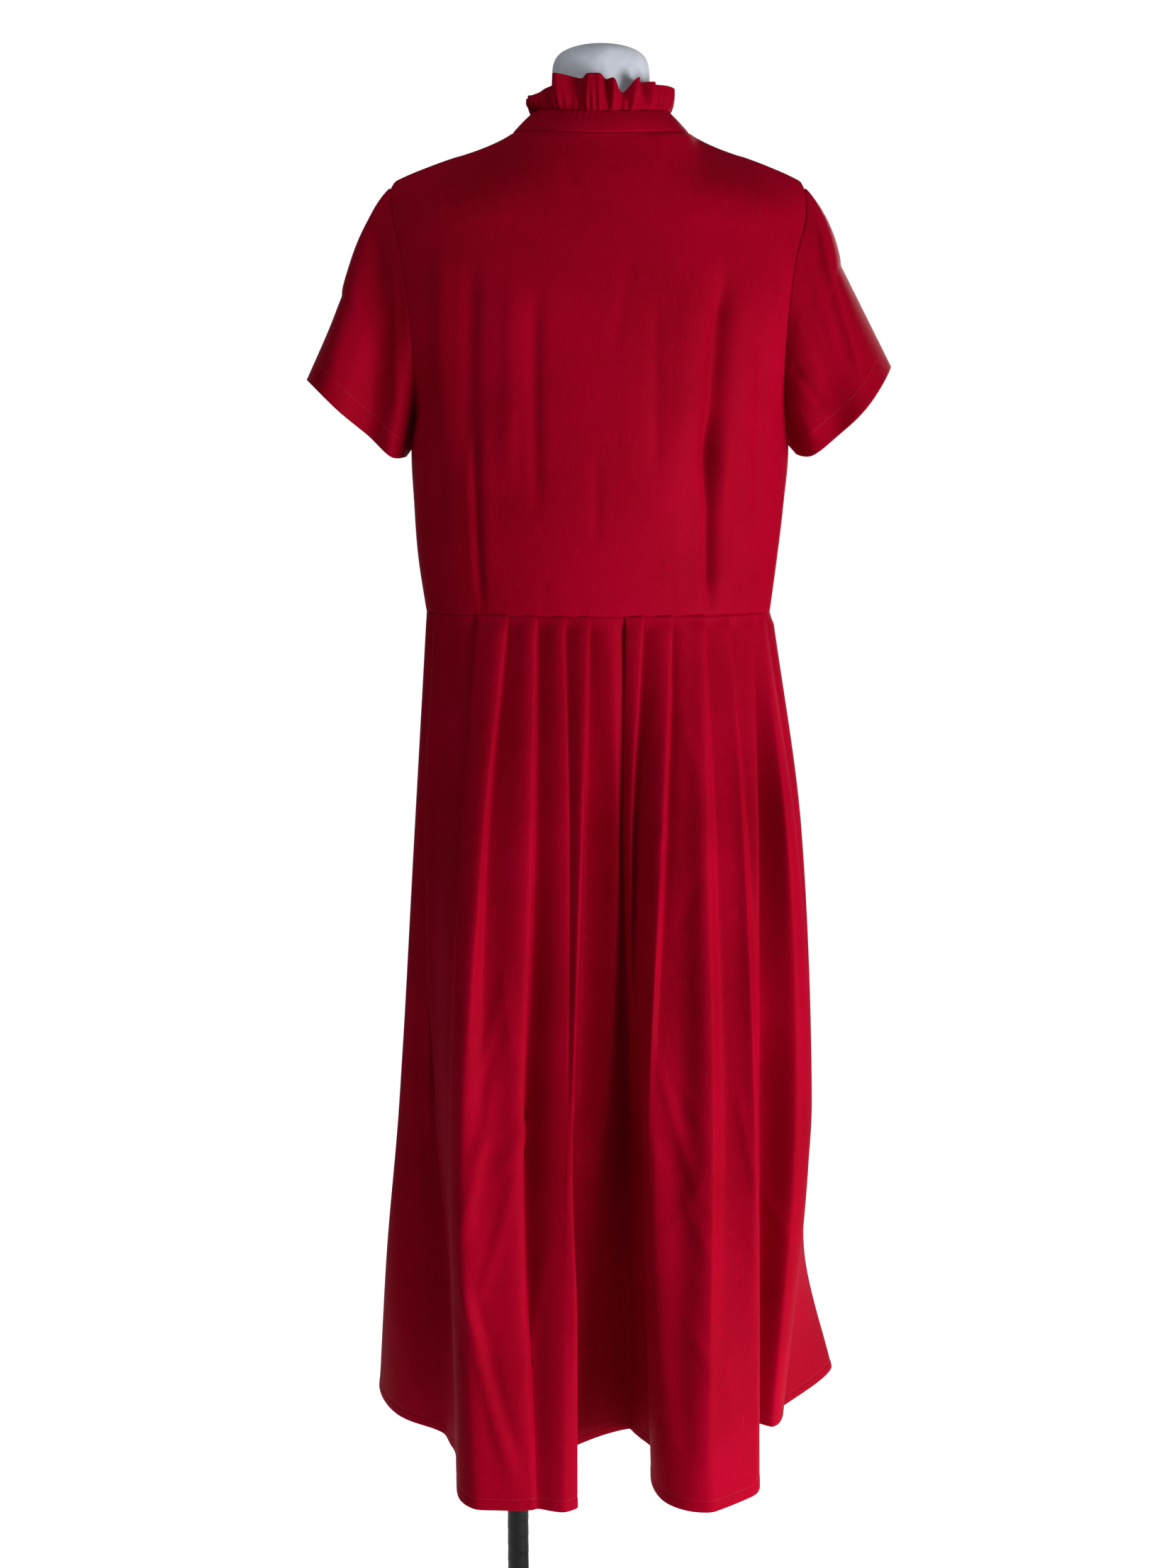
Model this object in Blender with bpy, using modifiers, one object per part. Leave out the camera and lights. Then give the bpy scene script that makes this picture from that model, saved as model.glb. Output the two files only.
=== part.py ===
"""Short-sleeved midi dress with a ruffled stand collar, hanging on a limbless dress form.

+Z is up, the wearer's front faces -Y and the wearer's left is +X.  The origin is on the floor under the
middle of the round foot plate.  Every cloth piece is a thin wall whose outer face is a place(u, v) surface.
"""
from math import ceil, cos, floor, pi, radians, sin

import bmesh
import bpy
from mathutils import Vector

# ---- driving sizes, metres ----
MM = 0.001
WALL = 0.0012              # crepe and its turnings, as one wall
SEAM_GAP = 0.0003          # every seam and every face that rests on another
WAIST_HEIGHT = 1.113
HEM_HEIGHT = 0.298
NECK_HALF_WIDTH = 0.078    # neckline seam
NECK_BACK = 0.062
NECK_FRONT = 0.072
NECK_SIDE_HEIGHT = 1.5508
NECK_BACK_DROP = 0.0092
NECK_FRONT_DROP = 0.043
STAND_HALF_WIDTH = 0.0625  # upper edge of the stand collar
STAND_BACK = 0.050
STAND_FRONT = 0.058
STAND_SIDE_HEIGHT = 1.5702
STAND_BACK_DROP = 0.0074
STAND_FRONT_DROP = 0.038
COLLAR_OPENING = radians(0.6)  # half of the split at the centre front
STAND_BOW = 0.0015
RUFFLE_BELLY = 0.0018      # the frill bows out this far at half its height
RUFFLE_ROOT = 0.12         # share of a flute's depth that it has at the seam
RUFFLE_FLUTE_COLUMNS = 3   # columns from one row of the flute table to the next
PLACKET_HALF_SHARE = 0.048
BUTTON_RADIUS = 0.0055
BUTTON_THICKNESS = 0.0022
BUTTON_COUNT = 6
BUTTON_LOWEST = 0.06       # shares of the placket's height
BUTTON_HIGHEST = 0.94
BUTTON_TAPER = 0.86
BUTTON_STANDS_OFF = 0.0004
FORM_RING_SIDES = 28
POLE_RADIUS = 0.011
POLE_ACROSS = 0.0846       # the pole stands off centre, towards the wearer's left
PLATE_RADIUS = 0.155
PLATE_THICKNESS = 0.012

# ---- bodice: one row per level, millimetres, from the waist seam up to the yoke ----
# middle and edge heights, depth at the middle, then each edge: across, depth, turn of the arc in degrees
BACK_LEVELS = (
    # level       mid_h   edge_h  depth  left_x left_y left_turn  right_x right_y right_turn
    ("waist",    (1113.3, 1113.3,  94.0, 164.0, -14.0, 100.0,     158.5,  22.0,  78.0)),
    ("rib",      (1165.0, 1165.0,  98.0, 171.0, -14.0, 100.0,     164.5,  24.0,  78.0)),
    ("chest",    (1216.0, 1213.0, 104.0, 174.0, -15.0, 100.0,     169.5,  26.0,  78.0)),
    ("underarm", (1278.0, 1270.0, 110.0, 176.5, -12.0,  98.0,     174.5,  20.0,  80.0)),
    ("blade",    (1336.0, 1325.0, 113.0, 172.5,  38.0,  68.0,     169.0,  44.0,  66.0)),
    ("back",     (1396.0, 1380.0, 110.0, 174.0,  56.0,  58.0,     170.0,  57.0,  57.0)),
    ("yoke",     (1452.0, 1432.0,  98.0, 181.0,  48.0,  58.0,     176.5,  48.0,  58.0)),
    ("shoulder", (1500.0, 1474.0,  81.0, 190.5,  28.0,  62.0,     187.5,  26.0,  62.0)),
)
FRONT_LEVELS = (
    ("waist",    (1113.3, 1113.3, -94.0, 164.0, -14.0,  80.0,     158.5,  22.0, 102.0)),
    ("rib",      (1165.0, 1165.0, -102.0, 171.0, -14.0,  80.0,    164.5,  24.0, 102.0)),
    ("chest",    (1218.0, 1213.0, -116.0, 174.0, -15.0,  80.0,    169.5,  26.0, 102.0)),
    ("underarm", (1280.0, 1270.0, -122.0, 176.5, -12.0,  82.0,    174.5,  20.0, 100.0)),
    ("bust",     (1334.0, 1325.0, -119.0, 166.0, -46.0,  62.0,    164.0, -38.0,  64.0)),
    ("chest_top", (1388.0, 1380.0, -108.0, 165.0, -52.0,  56.0,   163.0, -50.0,  56.0)),
    ("throat",   (1434.0, 1432.0, -95.0, 174.0, -44.0,  58.0,     171.0, -44.0,  58.0)),
    ("shoulder", (1474.0, 1474.0, -83.0, 187.0, -26.0,  62.0,     184.5, -26.0,  62.0)),
)
UNDERARM_LEVEL = 3         # row of the tables above where the armhole begins
NECK_SHARE = 4 / 10        # share of a bodice half that ends on the neckline, the rest on the shoulder
BODICE_COLUMNS = 20
BODICE_ROWS = 18
SIDE_SEAM_SHARE = 0.0014   # half the side seam's gap, as a share of a panel half's width
SHOULDER_ROLL = 0.012      # the panels lie level over the shoulder for this far from its seam
SHOULDER_ROLL_DROP = 0.0016
NECK_ROLL_DROP = 0.0095
SHOULDER_SLOPE = 0.44
PLACKET_LOWEST = 0.004     # shares of the bodice's height between which the placket lies
PLACKET_HIGHEST = 0.994

# ---- shoulder seam between neckline and sleeve, millimetres ----
SHOULDER_SEAM = (
    # share   across  depth  height
    (0.00, (78.0,    0.0, 1550.8)),
    (0.25, (105.0,  -0.3, 1538.8)),
    (0.62, (152.0,  -0.6, 1523.0)),
    (0.93, (188.0,  -0.9, 1508.5)),
    (1.00, (193.5,  -1.0, 1502.5)),
)
RIGHT_SHOULDER_SHORT = 0.03  # the right shoulder is this share narrower at its tip

# ---- sleeve hems: one row per point round the opening, millimetres ----
CUFF_LEFT = (
    # round    across  depth   height
    (0.000, (184.0,   -2.0, 1259.0)),
    (0.110, (195.0,   40.0, 1257.0)),
    (0.230, (218.0,   58.0, 1277.0)),
    (0.360, (251.0,   38.0, 1308.0)),
    (0.500, (277.0,   -8.0, 1330.0)),
    (0.640, (258.0,  -52.0, 1312.0)),
    (0.780, (224.0,  -64.0, 1282.0)),
    (0.900, (196.0,  -42.0, 1262.0)),
)
CUFF_RIGHT = (
    (0.000, (184.0,   12.0, 1261.0)),
    (0.110, (196.0,   42.0, 1259.0)),
    (0.230, (218.0,   60.0, 1277.0)),
    (0.340, (240.0,   40.0, 1299.0)),
    (0.420, (251.0,   12.0, 1318.0)),
    (0.500, (276.0,  -18.0, 1344.0)),
    (0.640, (262.0,  -56.0, 1330.0)),
    (0.780, (228.0,  -66.0, 1292.0)),
    (0.900, (197.0,  -42.0, 1266.0)),
)
SLEEVE_COLUMNS = 24
SLEEVE_ROWS = 6
SLEEVE_CROWN_LEFT = 0.010  # how far the sleeve head stands out over its straight line
SLEEVE_CROWN_RIGHT = 0.002
SLEEVE_CROWN_LENGTH = 0.78 # share of the sleeve that the head's fullness takes
SLEEVE_CROWN_WAY = Vector((0.66, 0.0, 0.75))
SLEEVE_BELLY = 0.007       # how far its front and back bow out half way down
SLEEVE_STANDS_OFF = 0.85   # walls that the sleeve starts outside the armhole, on average and
SLEEVE_STANDS_MORE = 0.40  # more than that at the underarm

# ---- ruffle: one row per crest, valley or turn of a flute, going round from the centre front ----
RUFFLE_FLUTES = (
    # turn from the centre back in degrees, out and rise at the free edge in millimetres
    (-180.0,  3.0, 26.0),
    (-171.0,  6.0, 27.0),
    (-162.0, -4.5, 25.5),
    (-151.0,  6.5, 27.0),
    (-141.0,  5.0, 26.5),
    (-133.0, -5.0, 24.5),
    (-122.0,  6.0, 24.0),
    (-113.0, -4.5, 21.0),
    (-103.0,  6.0, 20.0),
    (-93.0,  -3.5, 17.0),
    (-80.0,   6.0, 16.0),
    (-64.0,   6.0, 20.0),
    (-55.0,  -1.5, 21.0),
    (-46.0,   5.5, 22.5),
    (-37.5,  -4.5, 24.0),
    (-28.5,   6.5, 26.0),
    (-19.5,  -5.0, 15.5),
    (-10.0,   4.0, 26.0),
    (-4.0,   -3.0, 27.5),
    (1.5,     6.0, 30.0),
    (10.0,    6.0, 30.0),
    (17.5,   -5.0, 28.0),
    (25.0,   -3.5, 28.5),
    (32.0,    5.0, 29.5),
    (39.5,    5.0, 29.5),
    (48.5,   -4.5, 22.0),
    (60.0,    2.0, 15.0),
    (79.0,    7.0, 10.0),
    (91.0,   -4.0, 15.0),
    (101.0,   6.0, 19.0),
    (111.0,  -4.5, 21.5),
    (121.0,   6.0, 24.0),
    (131.0,  -5.0, 25.0),
    (142.0,   6.5, 26.5),
    (152.0,  -4.5, 25.5),
    (161.0,   6.0, 27.0),
    (170.0,  -4.0, 26.0),
    (180.0,   3.0, 26.0),
)

# ---- skirt: one row per fold line, millimetres, going round from one side seam to the other ----
# a fold that turns sharply below the knee has a shin pair too, before its hem pair
SKIRT_LEVELS = (WAIST_HEIGHT - SEAM_GAP, 0.900, 0.620, HEM_HEIGHT)
SHIN_LEVEL = 0.460
BACK_FOLDS = (
    # fold           waist x, y     hip x, y      knee x, y     hem x, y
    ("seam_left",   (164.0, -14.0), (176.0, -42.0), (190.0, -55.0), (222.0, -75.0)),
    ("side_crest",  (166.0,  -1.0), (182.5, -12.0), (202.5, -14.0), (218.5, -22.0), (232.0, -42.0)),
    ("side_mid",    (164.5,  12.0), (177.0,  12.0), (190.0,  16.0), (205.0,  23.0)),
    ("pleat1_foot", (162.0,  21.0), (169.5,  21.0), (170.5,  29.0), (160.0,  58.0)),
    ("pleat1_edge", (158.5,  32.0), (164.5,  40.0), (162.0,  56.0), (150.0,  78.0)),
    ("pleat2",      (137.0,  51.0), (146.0,  66.0), (144.5,  92.0), (140.5, 100.0)),
    ("pleat3_foot", (119.5,  62.0), (133.0,  82.0), (134.0, 112.0), (137.0, 140.0)),
    ("pleat3_edge", (115.0,  70.0), (128.5,  94.0), (130.5, 130.0), (133.0, 178.0)),
    ("pleat4_edge", (85.0,   84.0), (109.0, 106.0), (124.0, 138.0), (118.0, 197.0)),
    ("pleat4_foot", (81.5,   79.0), (103.0, 101.0), (102.5, 134.0), (100.0, 199.0)),
    ("pleat5_edge", (59.0,   91.0), (63.0,  107.0), (71.5,  131.0), (64.0,  199.0)),
    ("pleat5_foot", (55.5,   85.0), (59.0,   96.0), (66.0,  116.0), (58.0,  196.0)),
    ("pleat6_edge", (34.0,   95.0), (31.0,  105.0), (41.0,  125.0), (44.0,  203.0)),
    ("pleat6_foot", (30.5,   90.0), (27.5,  102.0), (36.0,  127.0), (38.0,  203.0)),
    ("pleat7_edge", (11.0,   97.0), (16.7,  110.0), (24.3,  134.0), (26.5,  194.0)),
    ("pleat7_foot", (7.5,    90.0), (12.5,   89.0), (20.0,   83.0), (23.5,   98.0)),
    ("hollow",      (-5.0,   93.0), (-1.0,   86.0), (6.0,    73.0), (8.0,    70.0)),
    ("pleat8_foot", (-17.5,  89.0), (-17.5,  74.0), (-10.5,  58.0), (-16.0,  57.0)),
    ("pleat8_edge", (-21.5,  94.0), (-22.0,  80.0), (-28.5,  63.0), (-34.0,  58.0)),
    ("pleat9_edge", (-39.0,  95.0), (-26.5,  90.0), (-33.5,  75.0), (-41.0,  70.0)),
    ("pleat9_foot", (-43.0,  89.0), (-31.0,  88.0), (-39.5,  91.0), (-45.0,  98.0)),
    ("pleat10_edge", (-65.0, 90.0), (-57.0, 111.0), (-47.0, 124.0), (-55.0, 158.0)),
    ("pleat10_foot", (-69.0, 85.0), (-62.0, 107.0), (-55.0, 125.0), (-64.0, 184.0)),
    ("pleat11",     (-80.0,  84.0), (-77.5, 104.0), (-71.0, 128.0), (-75.0, 198.0)),
    ("pleat12_edge", (-97.5, 79.0), (-99.0, 115.0), (-104.5, 142.0), (-96.0, 203.0)),
    ("pleat12_foot", (-102.0, 72.0), (-106.0, 108.0), (-115.0, 135.0), (-108.0, 200.0)),
    ("pleat13_edge", (-120.0, 67.0), (-134.0, 100.0), (-146.0, 128.0), (-147.5, 172.0)),
    ("pleat13_foot", (-124.5, 60.0), (-139.0, 86.0), (-153.5, 88.0), (-154.5, 86.0)),
    ("pleat14_edge", (-146.0, 46.0), (-151.0, 74.0), (-163.0, 68.0), (-165.0, 60.0)),
    ("pleat14_foot", (-149.0, 40.0), (-156.0, 66.0), (-170.0, 60.0), (-172.0, 48.0)),
    ("seam_right",  (-156.8, 25.0), (-186.0, 25.0), (-206.0, 18.0), (-201.0, 10.0), (-189.0,   4.0)),
)
FRONT_FOLDS = (
    ("seam_right",  (-156.8, 25.0), (-186.0, 25.0), (-206.0, 18.0), (-201.0, 10.0), (-189.0,   4.0)),
    ("flare",       (-165.0, -6.0), (-198.5, -14.0), (-214.0, -30.0), (-211.0, -44.0), (-252.0, -84.0)),
    ("flare_back",  (-160.0, -26.0), (-187.0, -44.0), (-195.0, -60.0), (-197.0, -70.0), (-226.0, -100.0)),
    ("pleat1_foot", (-144.0, -44.0), (-160.0, -60.0), (-160.0, -66.0), (-182.0, -88.0)),
    ("pleat1_edge", (-139.0, -53.0), (-152.0, -76.0), (-152.0, -92.0), (-168.0, -120.0)),
    ("pleat2",      (-122.0, -66.0), (-134.0, -96.0), (-138.0, -126.0), (-150.0, -176.0)),
    ("pleat3_foot", (-101.0, -72.0), (-115.0, -103.0), (-122.0, -137.0), (-128.0, -200.0)),
    ("pleat3_edge", (-97.0, -79.0), (-109.0, -108.0), (-116.0, -141.0), (-120.0, -203.0)),
    ("pleat4_foot", (-78.0, -80.0), (-86.0, -108.0), (-90.0, -138.0), (-88.0, -206.0)),
    ("pleat4_edge", (-74.0, -87.0), (-80.0, -112.0), (-84.0, -139.0), (-80.0, -204.0)),
    ("pleat5_foot", (-56.0, -86.0), (-58.0, -102.0), (-58.0, -118.0), (-58.0, -176.0)),
    ("pleat5_edge", (-52.0, -92.0), (-53.0, -104.0), (-54.0, -108.0), (-55.0, -150.0)),
    ("pleat6_foot", (-34.0, -89.0), (-34.0, -92.0), (-32.0, -88.0), (-34.0, -94.0)),
    ("pleat6_edge", (-30.0, -95.0), (-29.0, -96.0), (-26.0, -90.0), (-26.0, -92.0)),
    ("pleat7_foot", (-12.0, -91.0), (-10.0, -102.0), (-6.0, -98.0), (-4.0, -104.0)),
    ("pleat7_edge", (-8.0, -97.0), (-5.0, -107.0), (0.0, -103.0), (4.0, -106.0)),
    ("pleat8_foot", (10.0, -91.0), (14.0, -100.0), (18.0, -95.0), (24.0, -98.0)),
    ("pleat8_edge", (14.0, -97.0), (19.0, -104.0), (24.0, -97.0), (32.0, -100.0)),
    ("pleat9_foot", (32.0, -89.0), (36.0, -96.0), (42.0, -100.0), (46.0, -120.0)),
    ("pleat9_edge", (36.0, -95.0), (41.0, -106.0), (48.0, -116.0), (52.0, -160.0)),
    ("pleat10_foot", (54.0, -86.0), (58.0, -108.0), (64.0, -132.0), (66.0, -198.0)),
    ("pleat10_edge", (58.0, -92.0), (63.0, -114.0), (70.0, -138.0), (74.0, -206.0)),
    ("pleat11_foot", (76.0, -80.0), (84.0, -108.0), (92.0, -138.0), (98.0, -206.0)),
    ("pleat11_edge", (80.0, -86.0), (89.0, -112.0), (98.0, -140.0), (106.0, -204.0)),
    ("pleat12_foot", (98.0, -72.0), (110.0, -96.0), (120.0, -126.0), (134.0, -184.0)),
    ("pleat12_edge", (102.0, -78.0), (115.0, -97.0), (126.0, -120.0), (142.0, -168.0)),
    ("pleat13_foot", (120.0, -60.0), (132.0, -76.0), (142.0, -82.0), (158.0, -108.0)),
    ("pleat13_edge", (124.0, -66.0), (138.0, -80.0), (149.0, -84.0), (166.0, -106.0)),
    ("pleat14_foot", (142.0, -43.0), (154.0, -64.0), (166.0, -80.0), (186.0, -116.0)),
    ("pleat14_edge", (146.0, -49.0), (159.0, -66.0), (172.0, -80.0), (196.0, -112.0)),
    ("seam_left",   (164.0, -14.0), (176.0, -42.0), (190.0, -55.0), (222.0, -75.0)),
)
SKIRT_ROWS = 15
SKIRT_COLUMN_STEP = 0.028  # widest spacing of the columns between two fold lines

# ---- dress form: one row per section from the hip up, millimetres ----
FORM_SECTIONS = (
    # height  half_width  back  front
    (1000.0, 146.0,  70.0, 76.0),
    (1012.0, 150.0,  72.0, 80.0),
    (1060.0, 142.0,  74.0, 78.0),
    (1113.0, 128.0,  74.0, 76.0),
    (1165.0, 132.0,  80.0, 82.0),
    (1216.0, 142.0,  87.0, 96.0),
    (1278.0, 152.0,  93.0, 104.0),
    (1336.0, 158.0,  93.0, 98.0),
    (1396.0, 163.0,  86.0, 84.0),
    (1440.0, 170.0,  74.0, 70.0),
    (1474.0, 176.0,  58.0, 58.0),
    (1492.0, 175.0,  48.0, 50.0),
    (1506.0, 164.0,  41.0, 39.0),
    (1517.0, 144.5,  38.0, 35.0),
    (1525.5, 125.5,  37.0, 31.8),
    (1533.5, 106.0,  37.2, 31.2),
    (1542.0, 84.0,   38.4, 34.2),
    (1549.5, 64.0,   41.0, 41.0),
    (1558.0, 52.0,   41.0, 45.0),
    (1575.0, 46.0,   40.5, 45.0),
    (1600.0, 45.0,   40.5, 45.0),
    (1613.0, 43.5,   39.5, 44.0),
    (1621.0, 38.0,   35.0, 39.0),
    (1626.0, 26.0,   25.0, 27.0),
    (1628.0, 10.0,   10.0, 10.0),
)


# ---- curves and grids ----
def blend(stations, values, at):
    """A smooth curve through values (numbers or vectors) that stand at increasing stations."""
    last = len(stations) - 1
    left = 0
    while left < last - 1 and at > stations[left + 1]:
        left += 1

    def slope(index):
        before, after = max(index - 1, 0), min(index + 1, last)
        return (values[after] - values[before]) / (stations[after] - stations[before])

    span = stations[left + 1] - stations[left]
    share = (at - stations[left]) / span
    rise = values[left + 1] - values[left]
    bend = share * (1 - share)
    curve = values[left] + rise * share
    curve += (slope(left) * span - rise) * (bend * (1 - share))
    curve += (rise - slope(left + 1) * span) * (bend * share)
    return curve


def principled(name, colour, roughness, metallic=0.0):
    material = bpy.data.materials.new(name)
    material.use_nodes = True
    shader = material.node_tree.nodes["Principled BSDF"]
    shader.inputs["Base Color"].default_value = (*colour, 1.0)
    shader.inputs["Roughness"].default_value = roughness
    shader.inputs["Metallic"].default_value = metallic
    return material


def finish_object(name, mesh_source, collection, material):
    mesh = bpy.data.meshes.new(name)
    mesh_source.to_mesh(mesh)
    mesh_source.free()
    mesh.shade_smooth()
    mesh.materials.append(material)
    piece = bpy.data.objects.new(name, mesh)
    collection.objects.link(piece)
    return piece


def grid_on(place, columns, rows, outward_is_up=True, closed=False):
    """A grid whose point (u, v), both from 0 to 1, stands at place(u, v)."""
    sheet = bmesh.new()
    bmesh.ops.create_grid(sheet, x_segments=columns, y_segments=rows, size=0.5)
    for point in sheet.verts:
        point.co = place(point.co.x + 0.5, point.co.y + 0.5)
    if closed:
        bmesh.ops.remove_doubles(sheet, verts=sheet.verts, dist=0.00002)
    if not outward_is_up:
        bmesh.ops.reverse_faces(sheet, faces=sheet.faces)
    return sheet


def cloth(name, place, columns, rows, collection, material, outward_is_up=True, closed=False):
    """A wall of cloth whose outer face is place(u, v); its thickness goes inwards."""
    sheet = grid_on(place, columns, rows, outward_is_up, closed)
    piece = finish_object(name, sheet, collection, material)
    wall = piece.modifiers.new("wall", "SOLIDIFY")
    wall.thickness = WALL
    wall.offset = -1.0
    return piece


# ---- bodice ----
def neckline(turn):
    """The neckline seam; turn is 0 at the centre back, a quarter turn at the side, pi at the front."""
    back = cos(turn) > 0
    deep = NECK_BACK if back else NECK_FRONT
    drop = NECK_BACK_DROP if back else NECK_FRONT_DROP
    return Vector((NECK_HALF_WIDTH * sin(turn), deep * cos(turn), NECK_SIDE_HEIGHT - drop * cos(turn) ** 2))


def shoulder_seam(side, share):
    point = blend([row[0] for row in SHOULDER_SEAM], [Vector(row[1]) * MM for row in SHOULDER_SEAM], share)
    if side < 0:
        point.x *= 1 - RIGHT_SHOULDER_SHORT * share
    point.x *= side
    return point


def level_point(level, side, share):
    """A point on one level of a bodice panel: share is 0 at its middle and 1 at the side."""
    middle_height, edge_height, depth, left_x, left_y, left_turn, right_x, right_y, right_turn = level[1]
    edge_x, edge_y, turn = (left_x, left_y, left_turn) if side > 0 else (right_x, right_y, right_turn)
    full = radians(turn)
    angle = share * full
    across = side * edge_x * sin(angle) / sin(full)
    outward = edge_y + (depth - edge_y) * (cos(angle) - cos(full)) / (1 - cos(full))
    height = middle_height + (edge_height - middle_height) * share ** 2
    return Vector((across, outward, height)) * MM


def bodice_point(levels, side, share, rise):
    """rise runs from 0 at the waist seam to 1 at the neckline and the shoulder seam."""
    points = [level_point(level, side, share) for level in levels]
    outward = 1 if levels is BACK_LEVELS else -1
    if share < NECK_SHARE:
        turn = share / NECK_SHARE * pi / 2
        top = neckline(side * (turn if levels is BACK_LEVELS else pi - turn))
        lean = turn / 2
        steep = cos(turn) ** 2
    else:
        along = (share - NECK_SHARE) / (1 - NECK_SHARE)
        top = shoulder_seam(side, along)
        lean = pi / 4 * (1 - along) ** 3
        steep = 0.0
    reach = SHOULDER_ROLL * (1 - 0.6 * steep)
    drop = SHOULDER_ROLL_DROP + SHOULDER_SLOPE * reach * sin(lean) + NECK_ROLL_DROP * steep
    points.append(top + Vector((side * reach * sin(lean), outward * reach * cos(lean), -drop)))
    points.append(top)
    at = rise * (len(points) - 1)
    smooth = blend(list(range(len(points))), points, at)
    corner = UNDERARM_LEVEL
    if at <= corner:
        turned = blend(list(range(corner + 1)), points[:corner + 1], at)
    else:
        turned = blend(list(range(corner, len(points))), points[corner:], at)
    return smooth.lerp(turned, share ** 8)


def panel_point(levels, side, share, rise):
    """A bodice point kept half a gap short of the side seam and of the shoulder seam."""
    kept = min(share, 1 - SIDE_SEAM_SHARE)
    point = bodice_point(levels, side, kept, min(rise, 1.0))
    outward = -1 if levels is FRONT_LEVELS else 1
    if rise > 0.999 and share >= NECK_SHARE:
        point.y += outward * SEAM_GAP
    return point


def back_place(across, rise):
    side = 1 if across > 0.5 else -1
    return panel_point(BACK_LEVELS, side, abs(across - 0.5) * 2, rise)


def front_place(side):
    def place(share, rise):
        point = panel_point(FRONT_LEVELS, side, share, rise)
        point.x += side * SEAM_GAP
        return point
    return place


def front_face(side, share, rise, lift):
    """A point of the front panels moved out by lift along their own slope."""
    step = 0.002
    here = bodice_point(FRONT_LEVELS, side, share, rise)
    lower = bodice_point(FRONT_LEVELS, side, share, max(rise - step, 0))
    upper = bodice_point(FRONT_LEVELS, side, share, min(rise + step, 1))
    beside = bodice_point(FRONT_LEVELS, side, share + step, rise)
    normal = (upper - lower).cross(beside - here) * side
    normal.normalize()
    if normal.y > 0:
        normal.negate()
    return here + normal * lift


def placket_place(across, rise):
    """The buttoned band on the centre front, from just above the waist seam to the neckline."""
    side = 1 if across > 0.5 else -1
    share = abs(across - 0.5) * 2 * PLACKET_HALF_SHARE
    return front_face(side, share, min(max(rise, PLACKET_LOWEST), PLACKET_HIGHEST), WALL + SEAM_GAP)


def build_bodice(parts, crepe):
    cloth("bodice_back", back_place, BODICE_COLUMNS, BODICE_ROWS, parts, crepe, outward_is_up=False)
    half = BODICE_COLUMNS // 2
    cloth("bodice_front_left", front_place(1), half, BODICE_ROWS, parts, crepe)
    cloth("bodice_front_right", front_place(-1), half, BODICE_ROWS, parts, crepe, outward_is_up=False)
    cloth("front_placket", placket_place, 2, BODICE_ROWS, parts, crepe)


def button_rise(number):
    """The share of the front's height at which a button sits, so that all are evenly spaced up it."""
    lowest = bodice_point(FRONT_LEVELS, 1, 0.0, BUTTON_LOWEST).z
    highest = bodice_point(FRONT_LEVELS, 1, 0.0, BUTTON_HIGHEST).z
    wanted = lowest + (highest - lowest) * number / (BUTTON_COUNT - 1)
    low, high = BUTTON_LOWEST, BUTTON_HIGHEST
    for _ in range(20):
        middle = (low + high) / 2
        if bodice_point(FRONT_LEVELS, 1, 0.0, middle).z < wanted:
            low = middle
        else:
            high = middle
    return low


def build_buttons(parts, material):
    for number in range(BUTTON_COUNT):
        rise = button_rise(number)
        seat = front_face(1, 0.0, rise, WALL + SEAM_GAP * 2)
        outer = front_face(1, 0.0, rise, WALL + SEAM_GAP * 2 + BUTTON_THICKNESS)
        disc = bmesh.new()
        bmesh.ops.create_cone(disc, cap_ends=True, segments=18, radius1=BUTTON_RADIUS,
                              radius2=BUTTON_RADIUS * BUTTON_TAPER, depth=BUTTON_THICKNESS)
        button = finish_object(f"button_{number + 1}", disc, parts, material)
        button.data.set_sharp_from_angle(angle=radians(40))
        direction = (outer - seat).normalized()
        button.location = seat + direction * (BUTTON_THICKNESS / 2 + BUTTON_STANDS_OFF)
        button.rotation_euler = direction.to_track_quat("Z", "Y").to_euler()


# ---- sleeves ----
def armhole(side, around):
    """The armhole seam: 0 at the underarm, 0.5 at the shoulder tip by way of the back, 1 underarm again."""
    levels = BACK_LEVELS if around <= 0.5 else FRONT_LEVELS
    upward = min(around, 1 - around) * 2
    start = UNDERARM_LEVEL / (len(BACK_LEVELS) + 1)
    return bodice_point(levels, side, 1.0, start + (1 - start) * upward)


def sleeve_hem(rows, side, around):
    stations = [row[0] for row in rows] + [1.0]
    points = [Vector(row[1]) * MM for row in rows]
    stations = [stations[-2] - 1.0] + stations + [1.0 + stations[1]]
    points = [points[-1]] + points + [points[0], points[1]]
    point = blend(stations, points, around)
    return Vector((side * point.x, point.y, point.z))


def sleeve_place(side):
    rows = CUFF_LEFT if side > 0 else CUFF_RIGHT
    head = SLEEVE_CROWN_LEFT if side > 0 else SLEEVE_CROWN_RIGHT

    def place(around, down):
        seam = armhole(side, around)
        hem = sleeve_hem(rows, side, around)
        upward = -cos(2 * pi * around)
        seam.x += side * (WALL + SEAM_GAP) * (SLEEVE_STANDS_OFF - SLEEVE_STANDS_MORE * upward)
        point = seam.lerp(hem, down)
        crown = head * max(0.0, upward) ** 1.5 * sin(pi * min(1.0, down / SLEEVE_CROWN_LENGTH))
        point += Vector((side * SLEEVE_CROWN_WAY.x, 0.0, SLEEVE_CROWN_WAY.z)) * crown
        point.y += SLEEVE_BELLY * sin(2 * pi * around) * sin(pi * down)
        return point
    return place


def build_sleeves(parts, crepe):
    for name, side in (("sleeve_left", 1), ("sleeve_right", -1)):
        cloth(name, sleeve_place(side), SLEEVE_COLUMNS, SLEEVE_ROWS, parts, crepe,
              outward_is_up=side < 0, closed=True)


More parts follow.
